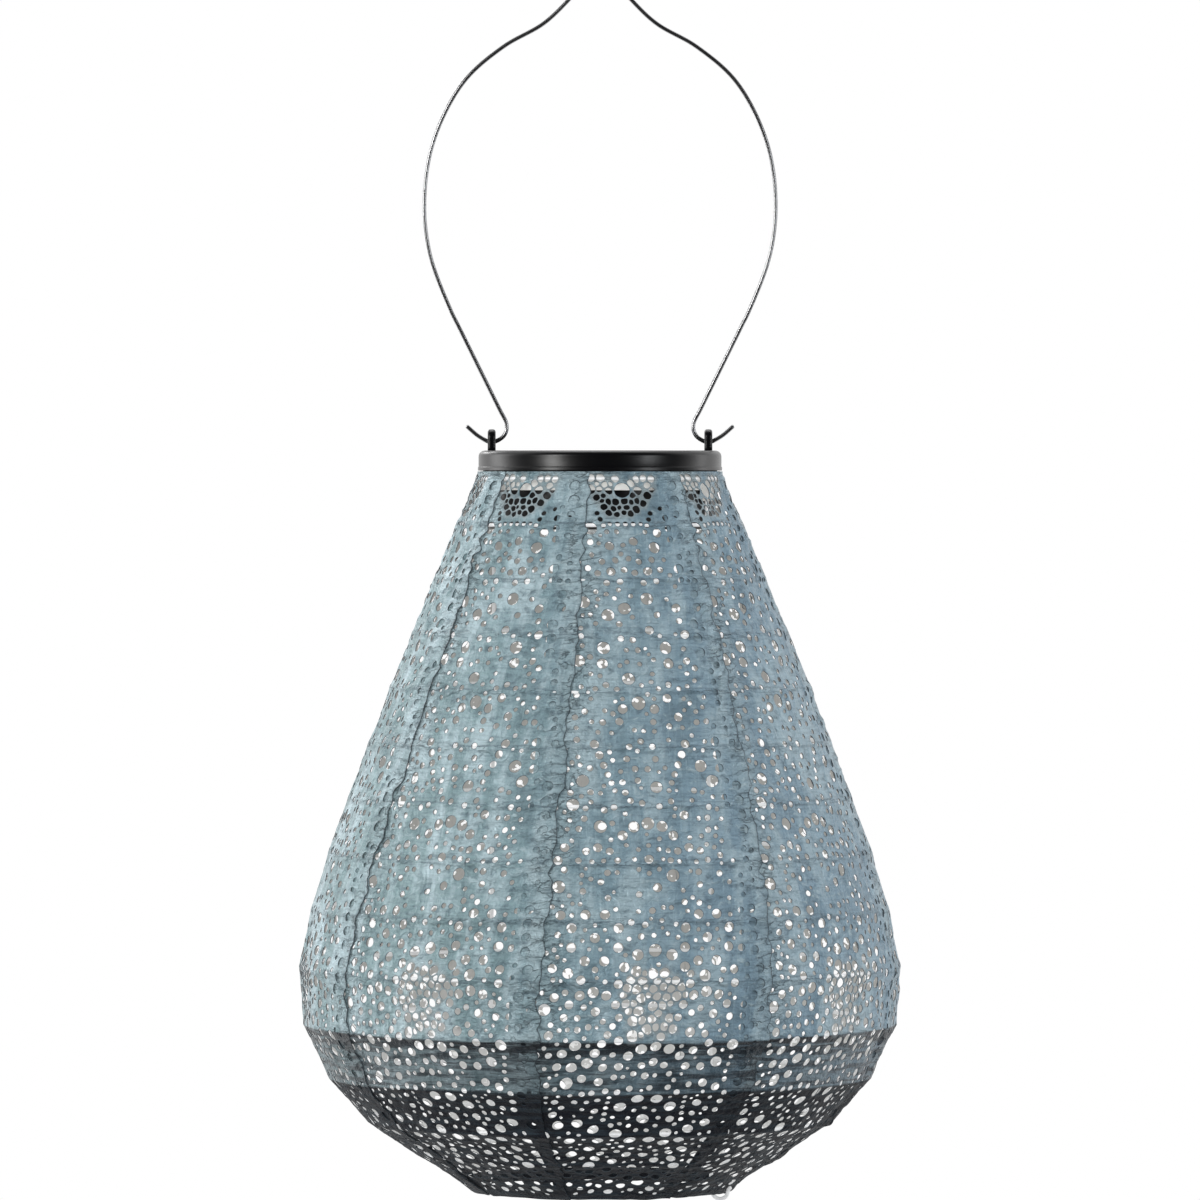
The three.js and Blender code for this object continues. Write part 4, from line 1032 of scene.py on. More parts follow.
class ShadeSettings(bpy.types.PropertyGroup):
    cloth_thickness: length_setting(
        "Cloth thickness", "Thickness of the coated cloth", 0.0003, 0.0001, 0.0006
    )
    overlap: length_setting(
        "Seam overlap", "How far a gore runs on under its neighbour at a seam", 0.014, 0.004, 0.02
    )
    web: length_setting("Web", "Least cloth between two holes", 0.0009, 0.0004, 0.002)
    sag: length_setting("Sag", "How far the cloth draws in between two hoops", 0.0006, 0, 0.002)
    crumple: length_setting("Crumple", "Height of the broad wrinkles", 0.0016, 0, 0.003)
    crinkle_height: length_setting(
        "Crinkle", "Height of the fine wrinkles in the coating", 0.0015, 0, 0.003
    )
    twist: FloatProperty(
        name="Twist",
        description="How far the cloth is turned at its upper edge, against its foot",
        default=math.radians(8),
        subtype="ANGLE",
    )
    seed: IntProperty(
        name="Hole layout",
        description="Which of the possible scatters of small holes is used",
        default=7,
    )
    # the turn from the green side to the blue side is painted side light on the pearl coating
    left_color: color_setting("Green side", "Colour of the coating at -X", (0.225, 0.335, 0.355))
    right_color: color_setting("Blue side", "Colour of the coating at +X", (0.22, 0.33, 0.415))
    # the ridges' pale colour is painted sheen, also used for paler seam strips and streaks
    pale_color: color_setting("Ridges", "Colour of the coating on its ridges", (0.48, 0.61, 0.66))
    # the creases' colour is painted shade, also used for random darker weave
    deep_color: color_setting(
        "Creases", "Colour of the coating in its creases", (0.075, 0.12, 0.15)
    )
    night_color: color_setting(
        "Lowest bands", "Colour of the coating below the lowest wide hoops", (0.006, 0.008, 0.0135)
    )
    # cut edges are singed, and the same colour paints shadow round holes, at the seam's edge and in
    # creases by the seams
    rim_color: color_setting(
        "Cut edges", "Colour of the singed edges round holes and seams", (0.02, 0.028, 0.036)
    )
    web_color: color_setting(
        "Thin webs", "Colour of the thin webs between crowded holes", (0.3, 0.345, 0.36)
    )
    lining_color: color_setting(
        "Lining", "Colour of the cloth's uncoated inside", (0.5, 0.495, 0.475)
    )
    dusk_start: length_setting(
        "Half dark from",
        "Height of the hoop below which dark streaks show in the coating",
        ring_centre("shade_hoop_10").y, -1, 0,
    )
    night_start: length_setting(
        "Dark from",
        "Height of the hoop below which the coating is near black",
        ring_centre("shade_hoop_11").y, -1, 0,
    )


HOOP_PITCH = 0.027  # along the cloth
TWIST_LENGTH = 0.31  # how far down the cloth its twist reaches
SEAM_LIFT = 0.0006  # between the two cloths at a seam


def cloth_rows():
    """Radius and height of the cloth's middle at its edges and hoops, from a CAD gore's seam."""
    rows = []
    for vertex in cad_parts["shade_gore_1"].data.vertices:
        x, y, z = vertex.co
        if x * math.cos(FIRST_SEAM) + y * math.sin(FIRST_SEAM) < 0.00025:
            point = Vector((math.hypot(x, y), z))
            near = [row for row in rows if any((point - p).length < 0.001 for p in row)]
            if not near:
                rows.append([point])
            elif all((point - p).length > 1e-5 for p in near[0]):
                near[0].append(point)
    middles = [sum(row, Vector((0, 0))) / len(row) for row in rows]
    return sorted(middles, key=lambda p: -p.y)


def cloth_profile():
    """The rows, run up past the collar's flange, and on round the mouth ring as a hem."""
    rows = cloth_rows()
    rows.insert(0, Vector((rows[0].x, CAP_Z - 0.0004)))
    centre = ring_centre("mouth_ring")
    out = (rows[-2] - centre).normalized()
    along = (rows[-1] - rows[-2]).normalized()
    turn = rows[-1] - out * 0.0011 + along * 0.0002
    inside = centre - out * 0.0016 + along * 0.0004
    return [*rows, turn, inside, inside - along * 0.0018]


# least cloth between a hole and each edge of a gore
TOP_MARGIN, FOOT_MARGIN, LEFT_MARGIN, RIGHT_MARGIN = 0.0014, 0.003, 0.002, 0.0026


class Pattern:
    """The flat cut of a gore, with u across from its middle and v down from its upper edge."""

    def __init__(self, profile, settings):
        steps = [(b - a).length for a, b in zip(profile, profile[1:])]
        self.stops = np.concatenate([[0], np.cumsum(steps)])
        self.radii = np.array([p.x for p in profile])
        self.hoops = self.stops[3:16]
        self.length = self.stops[-1]
        self.edge = self.stops[-4]  # where the hem starts
        self.overlap = settings.overlap
        self.web = settings.web
        self.random = random.Random(settings.seed)
        # where the torn edge steps in and out, and how far
        self.knots = np.cumsum([self.random.uniform(0.0016, 0.0052) for _ in range(140)])
        self.jogs = [self.random.uniform(-0.001, 0.001) for _ in self.knots]
        self.holes = []

    def half(self, v):
        """Half of the gore's own share of the way round."""
        return np.interp(v, self.stops, self.radii) * math.pi / GORES

    def fade(self, v):
        """1 on the body of the gore, and less in its upper edge and its hem."""
        return np.clip((v - 0.002) / 0.004, 0, 1) * np.clip((self.edge - v) / 0.006, 0, 1)

    def lap(self, v):
        """How far the gore runs on under its neighbour, less at its foot."""
        narrow = np.interp(v, [self.hoops[9], self.hoops[12]], [1, 0.45])
        return self.overlap * narrow

    def left(self, v):
        """The edge that lies under the neighbour."""
        return -self.half(v) - self.lap(v) * (0.5 + 0.5 * self.fade(v))

    def right(self, v):
        """The edge on top at the other seam, cut in waves of uneven length and depth."""
        wave = np.sin(v * 640 + 2.1 * np.sin(v * 67) + 1.3 * np.sin(v * 151 + 1))
        drift = 0.6 * np.sin(v * 211 + 2) + 0.5 * np.sin(v * 97)
        torn = np.interp(v, self.knots, self.jogs)
        return self.half(v) + self.fade(v) * (0.0004 * wave + 0.0007 * drift + torn)

    def middle(self, v):
        """The middle of the single cloth between the two seams."""
        return -0.008 + 0.008 * np.clip((v - 0.15) / 0.15, 0, 1)

    def add(self, u, v, radius, web=None):
        """Adds a hole, smaller where others are near, or none where it would be much smaller."""
        web = self.web if web is None else web
        if not TOP_MARGIN + radius < v < self.edge - FOOT_MARGIN - radius:
            return False
        if u - radius < self.left(v) + LEFT_MARGIN or u + radius > self.half(v) - RIGHT_MARGIN:
            return False
        room = radius
        for x, y, other, _ in self.holes:
            room = min(room, math.hypot(x - u, y - v) - other - web)
        if room < (0.5 if web < self.web else 0.7) * radius:
            return False
        self.holes.append((u, v, room, web < self.web))
        return True

    def ring(self, u, v, reach, count, radius, turn=0.0):
        for angle in turns(count):
            angle += turn
            self.add(u + reach * math.sin(angle), v - reach * math.cos(angle), radius)

    def flower(self, u, v, size, count, turn=0.0):
        """A large hole in a ring of small ones and a ring of large ones."""
        self.add(u, v, size * 0.2)
        self.ring(u, v, size * 0.5, count - 1, size * 0.085, turn)
        self.ring(u, v, size, count, size * 0.2, turn + math.pi / count)

    def comb(self, u, top, width, height, pitch):
        """A patch of close cells with thin webs, narrower at its foot."""
        for row in range(math.ceil(height / pitch / 0.87) + 1):
            y = row * pitch * 0.87
            share = max(0, y / height - 0.3) / 0.7
            reach = width / 2 * math.sqrt(max(0, 1 - 0.85 * share**2))
            for column in range(-12, 13):
                x = (column + 0.5 * (row % 2)) * pitch
                if abs(x) > reach or y > height:
                    continue
                nudge = [self.random.uniform(-0.2, 0.2) * pitch for _ in range(2)]
                size = pitch * self.random.uniform(0.38, 0.54)
                self.add(u + x + nudge[0], top + y + nudge[1], size, self.web * 0.5)

    def chain(self, start, end, first, last):
        """A line of holes that change in size."""
        (u0, v0), (u1, v1) = start, end
        length = math.hypot(u1 - u0, v1 - v0)
        at = 0.0
        while at <= length:
            share = at / length
            radius = first + (last - first) * share
            self.add(u0 + (u1 - u0) * share, v0 + (v1 - v0) * share, radius)
            at += 2 * radius + 0.0013

    def arch(self, u, v, reach, count, radius, spread):
        """Holes on an arc over a place, the middle one the largest."""
        for i in range(count):
            share = 2 * i / (count - 1) - 1
            angle = share * spread
            size = radius * (1 - 0.3 * abs(share))
            self.add(u + reach * math.sin(angle), v - reach * math.cos(angle), size)

    def dust(self, top, bottom, count, sizes, web):
        """Scattered holes of a few sizes between two distances down the cloth."""
        made = tries = 0
        while made < count and tries < 10 * count:
            tries += 1
            v = self.random.uniform(top, bottom)
            half = self.half(v)
            u = self.random.uniform(-half + 0.001, half - self.lap(v) - 0.002)
            made += self.add(u, v, self.random.choice(sizes), web)

    def strip(self, top, bottom, count):
        """Holes in the edge that lies over the next gore's margin, and a few in that margin."""
        for _ in range(count):
            v = self.random.uniform(top, bottom)
            inset = self.random.uniform(0.004, self.lap(v) + 0.0015)
            radius = self.random.choice((0.0011, 0.0014, 0.0017, 0.0024))
            self.add(self.half(v) - inset, v, radius, 0.0013)
        for _ in range(count // 5):
            v = self.random.uniform(top, bottom)
            inset = self.random.uniform(0.001, 0.6 * self.lap(v))
            self.add(-self.half(v) - inset, v, self.random.choice((0.0009, 0.0013, 0.0018)))


TINY, SMALL, MEDIUM, LARGE = 0.00115, 0.0015, 0.0021, 0.0029  # radii of the holes
EDGE_PITCH = 0.0011  # between the points along a gore's cut sides
SPOT_PITCH = 0.0026  # between the points on its cloth
RIM_WIDTH = 0.00034  # from a hole to the ring of points round it
SPOT_MARGIN = 0.0008  # from a hole to the next point on the cloth
EDGE_RIM_WIDTH = 0.0006
CURL_WIDTH = 0.0022
SEAM_WIDTH = 0.009
GORE_SHIFT = 0.13  # so that no two gores share their noise


def lay_out_holes(pattern):
    """The gore's holes: a comb at the top, loose groups on the body and flowers at the foot."""
    hoops = pattern.hoops
    top_middle = pattern.middle(0)
    pattern.add(top_middle, 0.0092, 0.0036)
    pattern.comb(top_middle, 0.0031, 0.0295, 0.0185, 0.0034)
    for side in (-1, 1):
        for i in range(4):
            pattern.add(top_middle + side * (0.0125 - 0.0012 * i), 0.0205 + 0.0031 * i, TINY)
    for i in range(7):
        pattern.add(top_middle - 0.0108 + i * 0.0036, hoops[0], TINY)
    lay_out_body(pattern, hoops)
    lay_out_foot(pattern, hoops)
    lay_out_blind(pattern)
    pattern.strip(0.004, hoops[0], 9)
    ends = [*hoops[1:], pattern.edge]
    for k, (top, bottom) in enumerate(zip(hoops, ends)):
        pattern.strip(top, bottom, 9 + k // 3)
        loose = (TINY, SMALL, MEDIUM, LARGE) if k < 8 else (SMALL, MEDIUM, MEDIUM, LARGE)
        pattern.dust(top, bottom, 9 + k, loose, 0.0021)
        pattern.dust(top, bottom, 12 + 3 * k, (TINY, TINY, SMALL), 0.0014)


def lay_out_blind(pattern):
    """Short vertical rows of holes over the next gore's margin."""
    v = 0.007
    for run in range(34):
        inset = 0.0065 + 0.0055 * (run % 3 == 1) + 0.002 * (run % 2)
        radius = (0.0024, SMALL, TINY, MEDIUM)[run % 4]
        for _ in range(2 + run % 3):
            if v < pattern.edge and inset < pattern.lap(v):
                pattern.add(pattern.half(v) - inset, v, radius)
            v += 2 * radius + 0.0022
        v += 0.002


def lay_out_body(pattern, hoops):
    pitch = hoops[1] - hoops[0]
    for side in (-1, 1):
        u = pattern.middle(hoops[1]) + side * 0.0085
        pattern.ring(u, hoops[1] - 0.004, 0.0062, 6, SMALL, 0.4)
        pattern.add(u, hoops[1] - 0.004, MEDIUM)
        u = pattern.middle(hoops[2]) + side * 0.0145
        pattern.add(u, hoops[2] + 0.006, LARGE)
        pattern.add(u + side * 0.001, hoops[2] + 0.0135, MEDIUM * 1.2)
        pattern.arch(u, hoops[3] + 0.004, 0.0072, 5, SMALL, 1.5)
        u = pattern.middle(hoops[4]) + side * 0.021
        pattern.chain((u, hoops[4] - 0.002), (u - side * 0.009, hoops[5] - 0.006), MEDIUM, TINY)
        pattern.arch(u, hoops[6] + 0.002, 0.0095, 5, MEDIUM, 1.2)
        u = pattern.middle(hoops[7]) + side * 0.026
        pattern.flower(u, hoops[7] + 0.007, 0.0115, 8)
        pattern.arch(u, hoops[8] + 0.017, 0.0125, 7, MEDIUM * 1.2, 1.5)
    u = pattern.middle(hoops[4])
    pattern.arch(u, hoops[3] + 0.017, 0.0115, 3, LARGE * 1.1, 0.7)
    pattern.ring(u, hoops[4] + 0.0035, 0.0068, 7, SMALL)
    u = pattern.middle(hoops[6])
    pattern.arch(u, hoops[6] - 0.004, 0.015, 7, LARGE, 1.35)
    pattern.add(u, hoops[6] - 0.002, MEDIUM)
    pattern.ring(u, hoops[6] - 0.002, 0.0066, 8, TINY)
    u = pattern.middle(hoops[8])
    pattern.arch(u, hoops[8] + 0.002, 0.0165, 7, LARGE, 1.5)
    pattern.add(u, hoops[8] + pitch * 0.4, MEDIUM * 1.1)
    pattern.comb(u, hoops[8] - pitch * 0.16, 0.035, 0.030, 0.0041)


def lay_out_foot(pattern, hoops):
    u = pattern.middle(hoops[10])
    for side in (-1, 1):
        start, end = (u + side * 0.0205, hoops[9] - 0.007), (u + side * 0.032, hoops[9] + 0.015)
        pattern.chain(start, end, SMALL, LARGE)
        pattern.arch(u + side * 0.033, hoops[9] + 0.012, 0.0105, 6, LARGE, 1.7)
        pattern.flower(u + side * 0.0315, hoops[11] + 0.004, 0.0128, 9, side * 0.2)
        start, end = (u + side * 0.0175, hoops[10] + 0.002), (u + side * 0.0185, hoops[11] + 0.004)
        pattern.chain(start, end, TINY, SMALL)
        start, end = (u + side * 0.0145, hoops[11] + 0.012), (u + side * 0.02, hoops[12])
        pattern.chain(start, end, SMALL, LARGE)
    pattern.arch(u, hoops[9] + 0.019, 0.0165, 7, LARGE, 1.2)
    pattern.arch(u, hoops[9] + 0.019, 0.0085, 5, MEDIUM, 1.3)
    pattern.flower(u, hoops[10] + 0.0165, 0.0142, 10)
    pattern.flower(u, hoops[12] + 0.0005, 0.0112, 9)
    pattern.dust(hoops[12], pattern.edge, 16, (SMALL, MEDIUM, LARGE), 0.0012)


def hole_points(number, holes):
    """The outline of one hole. Where cells crowd, each keeps to its own side of its neighbours."""
    u, v, radius, cell = holes[number]
    if not cell:
        sizes = ((0.0012, 10), (0.0018, 14), (0.0026, 18), (1, 24))
        count = next(count for limit, count in sizes if radius < limit)
        return circle_points(u, v, radius, count)
    near = [(x - u, y - v, r) for x, y, r, _ in holes if 0 < math.hypot(x - u, y - v) < 0.007]
    points = []
    for angle in turns(14):
        walls = [(radius * 1.3) ** -7]
        for x, y, other in near:
            apart = math.hypot(x, y)
            facing = (x * math.cos(angle) + y * math.sin(angle)) / apart
            if facing > 0.05:
                wall = (apart**2 + radius**2 - other**2) / (2 * apart) - 0.00024
                walls.append((max(wall, 0.6 * radius) / facing) ** -7)
        reach = sum(walls) ** (-1 / 7)
        points.append((u + reach * math.cos(angle), v + reach * math.sin(angle)))
    return points


def circle_points(u, v, radius, count):
    return [(u + radius * math.cos(a), v + radius * math.sin(a)) for a in turns(count)]


class Net:
    """Points and edges for the triangulation, with what each point is."""

    def __init__(self):
        self.points = []
        self.edges = []
        self.group = []
        self.rim = []

    def loop(self, points, group, rim, closed=True):
        start = len(self.points)
        self.points += points
        self.group += [group] * len(points)
        self.rim += rim if isinstance(rim, list) else [rim] * len(points)
        count = len(points)
        spans = count if closed else count - 1
        self.edges += [(start + i, start + (i + 1) % count) for i in range(spans)]

    def loose(self, points):
        self.points += points
        self.group += [-1] * len(points)
        self.rim += [0.0] * len(points)


def boundary(pattern):
    """Points all the way round the flat cut."""
    down = np.arange(0, pattern.length, EDGE_PITCH)
    right = [(pattern.right(v), v) for v in [*down, pattern.length]]
    left = [(pattern.left(v), v) for v in reversed([*down[::2], pattern.length])]
    top = np.linspace(left[-1][0], right[0][0], 26)[1:-1]
    bottom = np.linspace(right[-1][0], left[0][0], 28)[1:-1]
    loop = [*right, *[(u, pattern.length) for u in bottom], *left, *[(u, 0.0) for u in top]]
    return [(float(u), float(v)) for u, v in loop]


def grid_points(pattern, pitch):
    """Points in rows that lie on the hoops and evenly between them."""
    points = []
    for start, end in zip(pattern.stops, pattern.stops[1:]):
        count = max(1, round((end - start) / (pitch * 0.87)))
        for i in range(count):
            v = start + (end - start) * i / count
            left, right = pattern.left(v) + 0.0012, pattern.right(v) - 0.0016
            across = max(2, round((right - left) / pitch))
            shift = 0.5 if i % 2 else 0.0
            for j in range(across + 1):
                u = left + (right - left) * min((j + shift) / across, 1)
                points.append((u, v))
    return np.array(points)


def far_from_holes(points, holes):
    keep = np.ones(len(points), bool)
    for u, v, radius, _ in holes:
        near = (points[:, 0] - u) ** 2 + (points[:, 1] - v) ** 2 < (radius + SPOT_MARGIN) ** 2
        keep &= ~near
    return points[keep]


def flat_gore(pattern):
    """Triangulates the flat cut with its holes open: its points, triangles and rim values."""
    net = Net()
    net.loop(boundary(pattern), -1, 0.0)
    for number, (u, v, radius, cell) in enumerate(pattern.holes):
        # blind holes lie over the next gore and get a crescent of painted shadow
        blind = u > pattern.half(v) - pattern.lap(v) - 0.002
        outline = hole_points(number, pattern.holes)
        net.loop(outline, number, rim_values(len(outline), blind, cell))
        if not cell:
            net.loop(circle_points(u, v, radius + RIM_WIDTH, 12), -1, 0.0)
    # points a little inside the seam's edge, where its painted shadow fades out
    down = np.arange(0.004, pattern.edge - 0.004, EDGE_PITCH)
    inner_edge = [(float(pattern.right(v)) - EDGE_RIM_WIDTH, float(v)) for v in down]
    net.loop(inner_edge, -1, 0.15, closed=False)
    spots = far_from_holes(grid_points(pattern, SPOT_PITCH), pattern.holes)
    net.loose([tuple(map(float, p)) for p in spots])
    scaled = [Vector((u * 1000, -v * 1000)) for u, v in net.points]
    points, _, faces, sources, _, _ = delaunay_2d_cdt(scaled, net.edges, [], 0, 1e-4)
    group = [net.group[s[0]] if s else -1 for s in sources]
    rim = [net.rim[s[0]] if s else 0.0 for s in sources]
    flat = np.array([(p.x / 1000, -p.y / 1000) for p in points])
    kept = [f for f in faces if triangle_stays(f, flat, group, pattern)]
    return flat, kept, edge_rim(flat, rim, pattern)


def rim_values(count, blind, cell):
    """How dark the coating is round a hole: a singed edge with painted shade all round a plain
    hole, and a crescent of painted shadow on one side only where the next gore lies behind it.

    Below zero is the pale colour of the webs between crowded cells.
    """
    if blind:
        return [max(0.0, math.cos(angle + 0.5)) for angle in turns(count)]
    return [-0.75 if cell else 0.62] * count


def triangle_stays(face, flat, group, pattern):
    """False where a triangle fills a hole or lies outside the cut."""
    first = group[face[0]]
    if first >= 0 and all(group[i] == first for i in face):
        return False
    u, v = flat[list(face)].mean(0)
    return 0 < v < pattern.length and pattern.left(v) - 1e-6 < u < pattern.right(v) + 1e-6


def edge_rim(flat, rim, pattern):
    """The rim values, with the seam's edge added: a singed edge with the painted shadow of the gap
    under it.
    """
    at_edge = np.abs(flat[:, 0] - pattern.right(flat[:, 1])) < 1e-4
    in_body = pattern.fade(flat[:, 1]) > 0.5
    return np.where(at_edge & in_body, 1.0, np.array(rim))


def flat_object(name, pattern, cut, number):
    """The flat gore as an object, with the values that shape it."""
    flat, faces, rim = cut
    u, v = flat[:, 0], flat[:, 1]
    obj = new_object(name, [(x, -y, 0.0) for x, y in flat], (), faces)
    mesh = obj.data
    mesh.shade_smooth()
    half = pattern.half(v)
    over, under = (u - half + 0.019) / 0.004, (-half - u + 0.003) / 0.003
    lift = 0.5 * smoothstep(over) - 0.5 * smoothstep(under)
    gape = 0.55 + 0.3 * np.sin(v * 173) + 0.3 * np.sin(v * 409 + 1)
    near_edge = smoothstep((u - pattern.right(v) + CURL_WIDTH) / CURL_WIDTH)
    curl = near_edge * pattern.fade(v) * gape
    span = np.searchsorted(pattern.stops, v, side="right") - 1
    span = np.clip(span, 0, len(pattern.stops) - 2)
    width = pattern.stops[span + 1] - pattern.stops[span]
    share = (v - pattern.stops[span]) / width
    long = np.clip(width / HOOP_PITCH, 0, 1)
    seam = np.exp(-((np.minimum(np.abs(u - half), np.abs(u + half)) / SEAM_WIDTH) ** 2))
    add_point_values(mesh, "rim", rim)
    add_point_values(mesh, "lift", lift + 0.45 * curl)
    add_point_values(mesh, "slack", 4 * share * (1 - share) * long)
    add_point_values(mesh, "seam", seam)
    laid = mesh.attributes.new("laid", "FLOAT_VECTOR", "POINT")
    values = np.column_stack([u + GORE_SHIFT * number, v, np.zeros(len(u))]).astype(np.float32)
    laid.data.foreach_set("vector", values.ravel())
    return obj


def smoothstep(value):
    value = np.clip(value, 0, 1)
    return value * value * (3 - 2 * value)


def gore_recipe(sizes):
    """Lays a flat gore round the lantern, with each point at its place on the profile."""
    inputs = {label: ("Float", size) for label, size in sizes.items()}
    inputs.update({"Profile": ("Object", None), "Finish": ("Material", None)})
    tree = Recipe("Gore on its hoops", inputs)
    u, down, _ = tree.parts(tree.node("GeometryNodeInputPosition"))
    info = tree.node("GeometryNodeObjectInfo", None, {"Object": tree.input("Profile")})
    profile = tree.node("GeometryNodeMeshToCurve", None, {0: info.output("Geometry")})
    sockets = {"Curves": profile, "Length": 0 - down}
    sample = tree.node("GeometryNodeSampleCurve", {"mode": "LENGTH"}, sockets)
    radius, _, height = tree.parts(sample.output("Position"))
    run, _, fall = tree.parts(sample.output("Tangent"))
    twist = tree.maths("MAXIMUM", 1 + down / tree.input("Twist length"), 0.0)
    azimuth = tree.input("Middle azimuth") + u / radius + twist * tree.input("Twist")
    sine, cosine = tree.maths("SINE", azimuth), tree.maths("COSINE", azimuth)
    place = tree.vector(radius * sine, radius * cosine * -1, height)
    slack, seam = tree.attribute("slack"), tree.attribute("seam")
    broad = tree.noise(place, 42, 3, 0.55) - 0.5
    small = tree.noise(place, 130, 2, 0.5) - 0.5
    folds = tree.noise(tree.vector(sine * 5, cosine * 5, height * 9), 2.4, 2) - 0.5
    folds = folds * (1 + tree.smooth(down, -0.13, -0.02))
    pucker = tree.noise(tree.vector(sine * 3, cosine * 3, height * 170), 1.0, 2) - 0.5
    loose = 0.3 + 0.7 * slack
    wrinkle = (broad * 1.3 + small * 1.1 + folds * 1.5) * loose + pucker * seam * 2.6
    out = wrinkle * tree.input("Crumple") - slack * tree.input("Sag")
    out = out + tree.attribute("lift") * tree.input("Seam lift")
    radius = radius - fall * out
    height = height + run * out
    spot = tree.vector(radius * sine, radius * cosine * -1, height)
    sockets = {0: tree.input("Geometry"), "Position": spot}
    return tree.finish(tree.node("GeometryNodeSetPosition", None, sockets))


class LANTERN_OT_shade(bpy.types.Operator):
    """Makes the eight perforated gores of the cloth shade"""

    bl_idname = "lantern.shade"
    bl_label = "Make the shade"

    def execute(self, context):
        settings = context.scene.lantern_shade
        profile = cloth_profile()
        pattern = Pattern(profile, settings)
        lay_out_holes(pattern)
        cut = flat_gore(pattern)
        area = float(sum(triangle_area(cut[0][list(face)]) for face in cut[1]))
        guide_points = [(p.x, 0, p.y) for p in profile]
        guide_edges = [(i, i + 1) for i in range(len(profile) - 1)]
        guide = new_object("profile_guide", guide_points, guide_edges)
        coating = cloth_finish("pearl_coated_cloth", settings)
        lining = lining_finish("cloth_lining", settings.lining_color)
        cut_edge = cut_edge_finish("singed_cut_edge", settings.rim_color)
        sizes = {
            "Middle azimuth": 0.0,
            "Twist": settings.twist,
            "Twist length": TWIST_LENGTH,
            "Seam lift": SEAM_LIFT,
            "Sag": settings.sag,
            "Crumple": settings.crumple,
        }
        tree = gore_recipe(sizes)
        values = {**sizes, "Profile": guide, "Finish": coating}
        shell = {
            "thickness": settings.cloth_thickness,
            "offset": 0.0,
            "material_offset": 1,
            "material_offset_rim": 2,
        }
        for number, node in enumerate(GORE_NODES):
            obj = flat_object(f"{node}_cloth", pattern, cut, number)
            values["Middle azimuth"] = FIRST_SEAM + (number + 0.5) * 2 * math.pi / GORES
            wear(obj, coating, lining, cut_edge)
            run_recipe(obj, tree, values, shell)
            smooth_to(obj, 50)
            stand_for(obj, "shade", node)
        bpy.data.objects.remove(guide)
        return {"FINISHED"}


def triangle_area(corners):
    (ax, ay), (bx, by), (cx, cy) = corners
    return abs((bx - ax) * (cy - ay) - (cx - ax) * (by - ay)) / 2


# Stage


class StageSettings(bpy.types.PropertyGroup):
    distance: length_setting(
        "Camera distance", "How far the camera stands from the lantern's axis", 4.2, 1, 10
    )
    view_width: length_setting(
        "View width", "Width of the picture at the lantern's axis", 0.5563, 0.2, 2
    )


CAMERA_Z = -0.2285
VIEW_MIDDLE_Z = -0.2906
LAMP_AIM_Z = -0.38


def aimed(name, data, place, aim):
    """A camera or lamp that stands at a place and points at another."""
    obj = placed(name, data)
    obj.location = place
    obj.rotation_euler = (aim - place).to_track_quat("-Z", "Y").to_euler()
    return obj


def add_camera(settings):
    data = bpy.data.cameras.new("camera")
    data.sensor_width = 36
    data.lens = data.sensor_width * settings.distance / settings.view_width
    data.clip_end = 100
    place, aim = Vector((0, -settings.distance, CAMERA_Z)), Vector((0, 0, VIEW_MIDDLE_Z))
    bpy.context.scene.camera = aimed("camera", data, place, aim)


def add_softbox(name, azimuth, elevation, distance, size, power, color=(1, 1, 1)):
    """A rectangular lamp that faces the middle of the shade."""
    data = bpy.data.lights.new(name, "AREA")
    data.shape = "RECTANGLE"
    data.size, data.size_y = size
    data.energy = power
    data.color = color
    aim = Vector((0, 0, LAMP_AIM_Z))
    angle, rise = math.radians(azimuth), math.radians(elevation)
    place = aim + polar(distance * math.cos(rise), angle, distance * math.sin(rise))
    return aimed(name, data, place, aim)


def light_world():
    """White where it is seen, also behind the lantern in a reflection, and soft grey as light."""
    world = bpy.data.worlds.new("studio")
    bpy.context.scene.world = world
    world.use_nodes = True
    tree = Nodes(world.node_tree)
    world.node_tree.nodes.clear()
    path = tree.node("ShaderNodeLightPath")
    direction = tree.node("ShaderNodeTexCoord").output("Generated")
    _, y, z = tree.parts(direction)
    behind = tree.smooth(y, -0.2, 0.25)
    above = tree.smooth(z, -0.6, 0.1)
    sheen = path.output("Is Glossy Ray") * (0.02 + 0.98 * behind)
    seen = path.output("Is Camera Ray") + path.output("Is Transmission Ray")
    strength = seen + sheen + path.output("Is Diffuse Ray") * (0.36 + 0.1 * above)
    lit = tree.node("ShaderNodeBackground", None, {"Color": (1, 1, 1, 1), "Strength": strength})
    tree.node("ShaderNodeOutputWorld", None, {0: lit})
    world.cycles.sampling_method = "NONE"  # so that each kind of ray meets its own strength


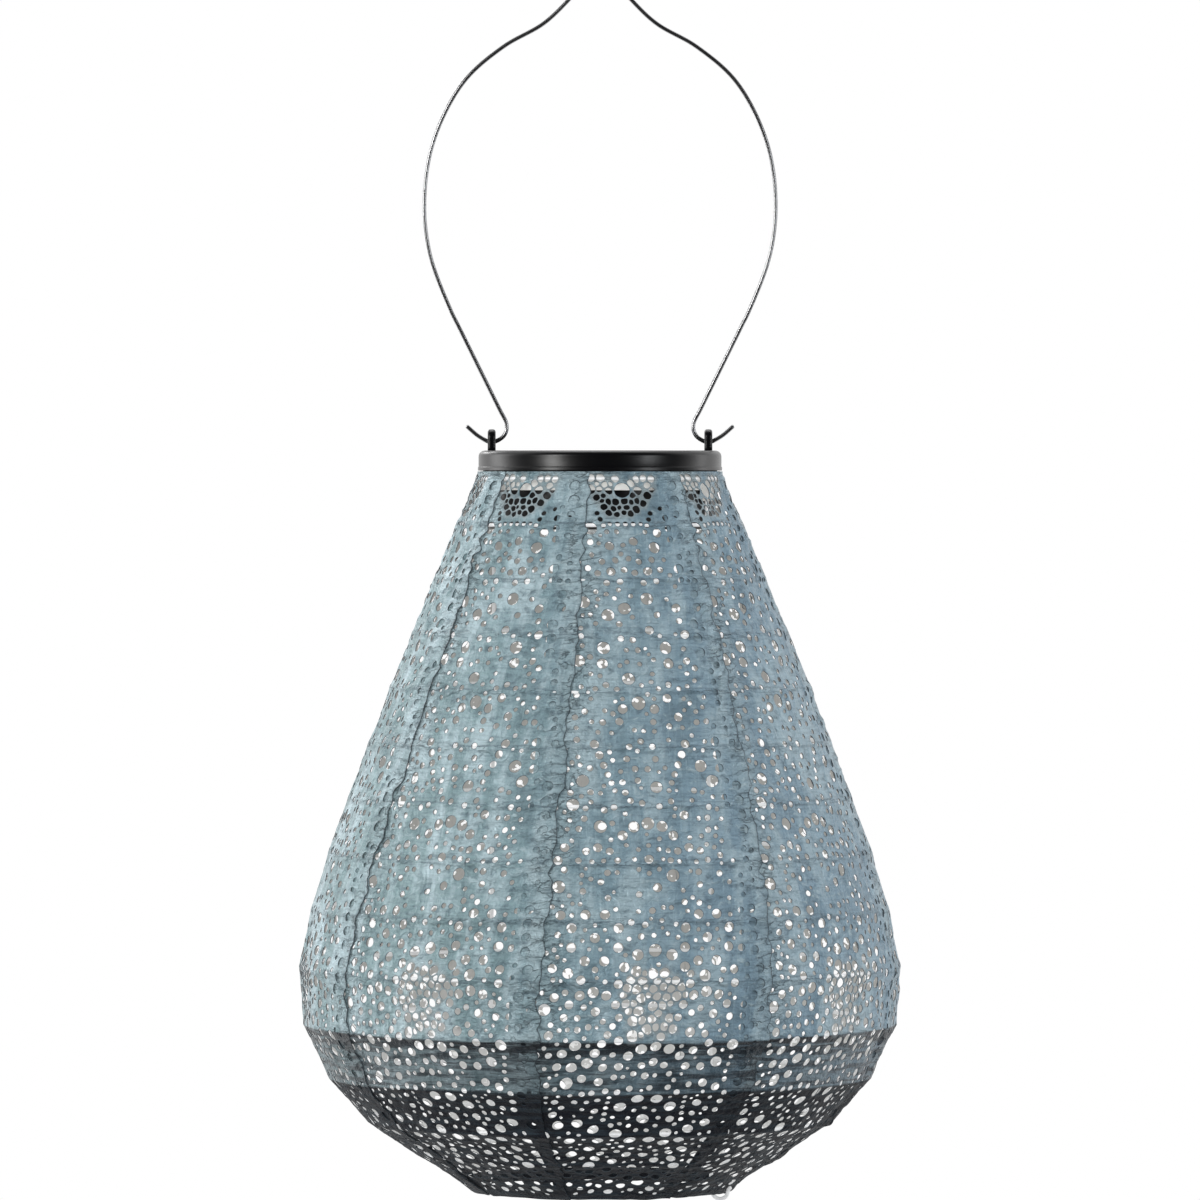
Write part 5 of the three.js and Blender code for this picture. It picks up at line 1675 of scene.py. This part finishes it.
class LANTERN_OT_stage(bpy.types.Operator):
    """Makes the camera, the lamps and the white background"""

    bl_idname = "lantern.stage"
    bl_label = "Set the stage"

    def execute(self, context):
        settings = context.scene.lantern_stage
        add_camera(settings)
        light_world()
        add_softbox("key_softbox", -46, 18, 2.6, (0.55, 1.3), 24, (1.0, 1.0, 0.985))
        add_softbox("fill_softbox", 47, 8, 2.6, (0.5, 1.3), 11, (0.95, 0.98, 1.0))
        add_softbox("left_strip", -112, 6, 1.7, (0.6, 1.4), 8)
        add_softbox("right_strip", 112, 4, 1.9, (0.4, 1.4), 3)
        add_softbox("back_left_softbox", -154, 25, 2.4, (0.5, 0.5), 4)
        add_softbox("top_softbox", 180, 70, 2.0, (1.2, 0.8), 9)
        front = add_softbox("front_softbox", 2, 12, 3.2, (1.6, 1.6), 41)
        front.visible_glossy = False
        context.scene.view_settings.view_transform = "Standard"
        return {"FINISHED"}


# Panel and registration


class LANTERN_PT_sidebar(bpy.types.Panel):
    """Lists the lantern's pieces with their sizes and colours"""

    bl_idname = "LANTERN_PT_sidebar"
    bl_label = "Hanging lantern"
    bl_space_type = "VIEW_3D"
    bl_region_type = "UI"
    bl_category = "Lantern"

    def draw(self, context):
        for name in PIECES:
            box = self.layout.box()
            settings = getattr(context.scene, f"lantern_{name}")
            for field in settings.bl_rna.properties:
                if field.identifier not in ("rna_type", "name"):
                    box.prop(settings, field.identifier)
            box.operator(f"lantern.{name}")


PIECES = {
    "bail": (BailSettings, LANTERN_OT_bail),
    "cap": (CapSettings, LANTERN_OT_cap),
    "wires": (WireSettings, LANTERN_OT_wires),
    "shade": (ShadeSettings, LANTERN_OT_shade),
    "stage": (StageSettings, LANTERN_OT_stage),
}
CLASSES = [*(item for pair in PIECES.values() for item in pair), LANTERN_PT_sidebar]


def register():
    for item in CLASSES:
        bpy.utils.register_class(item)
    for name, (group, _) in PIECES.items():
        setattr(bpy.types.Scene, f"lantern_{name}", PointerProperty(type=group))


def unregister():
    for name in PIECES:
        delattr(bpy.types.Scene, f"lantern_{name}")
    for item in reversed(CLASSES):
        bpy.utils.unregister_class(item)


def main():
    register()
    bpy.ops.lantern.stage()
    bpy.ops.lantern.bail()
    bpy.ops.lantern.cap()
    bpy.ops.lantern.wires()
    bpy.ops.lantern.shade()


if __name__ == "__main__":
    main()
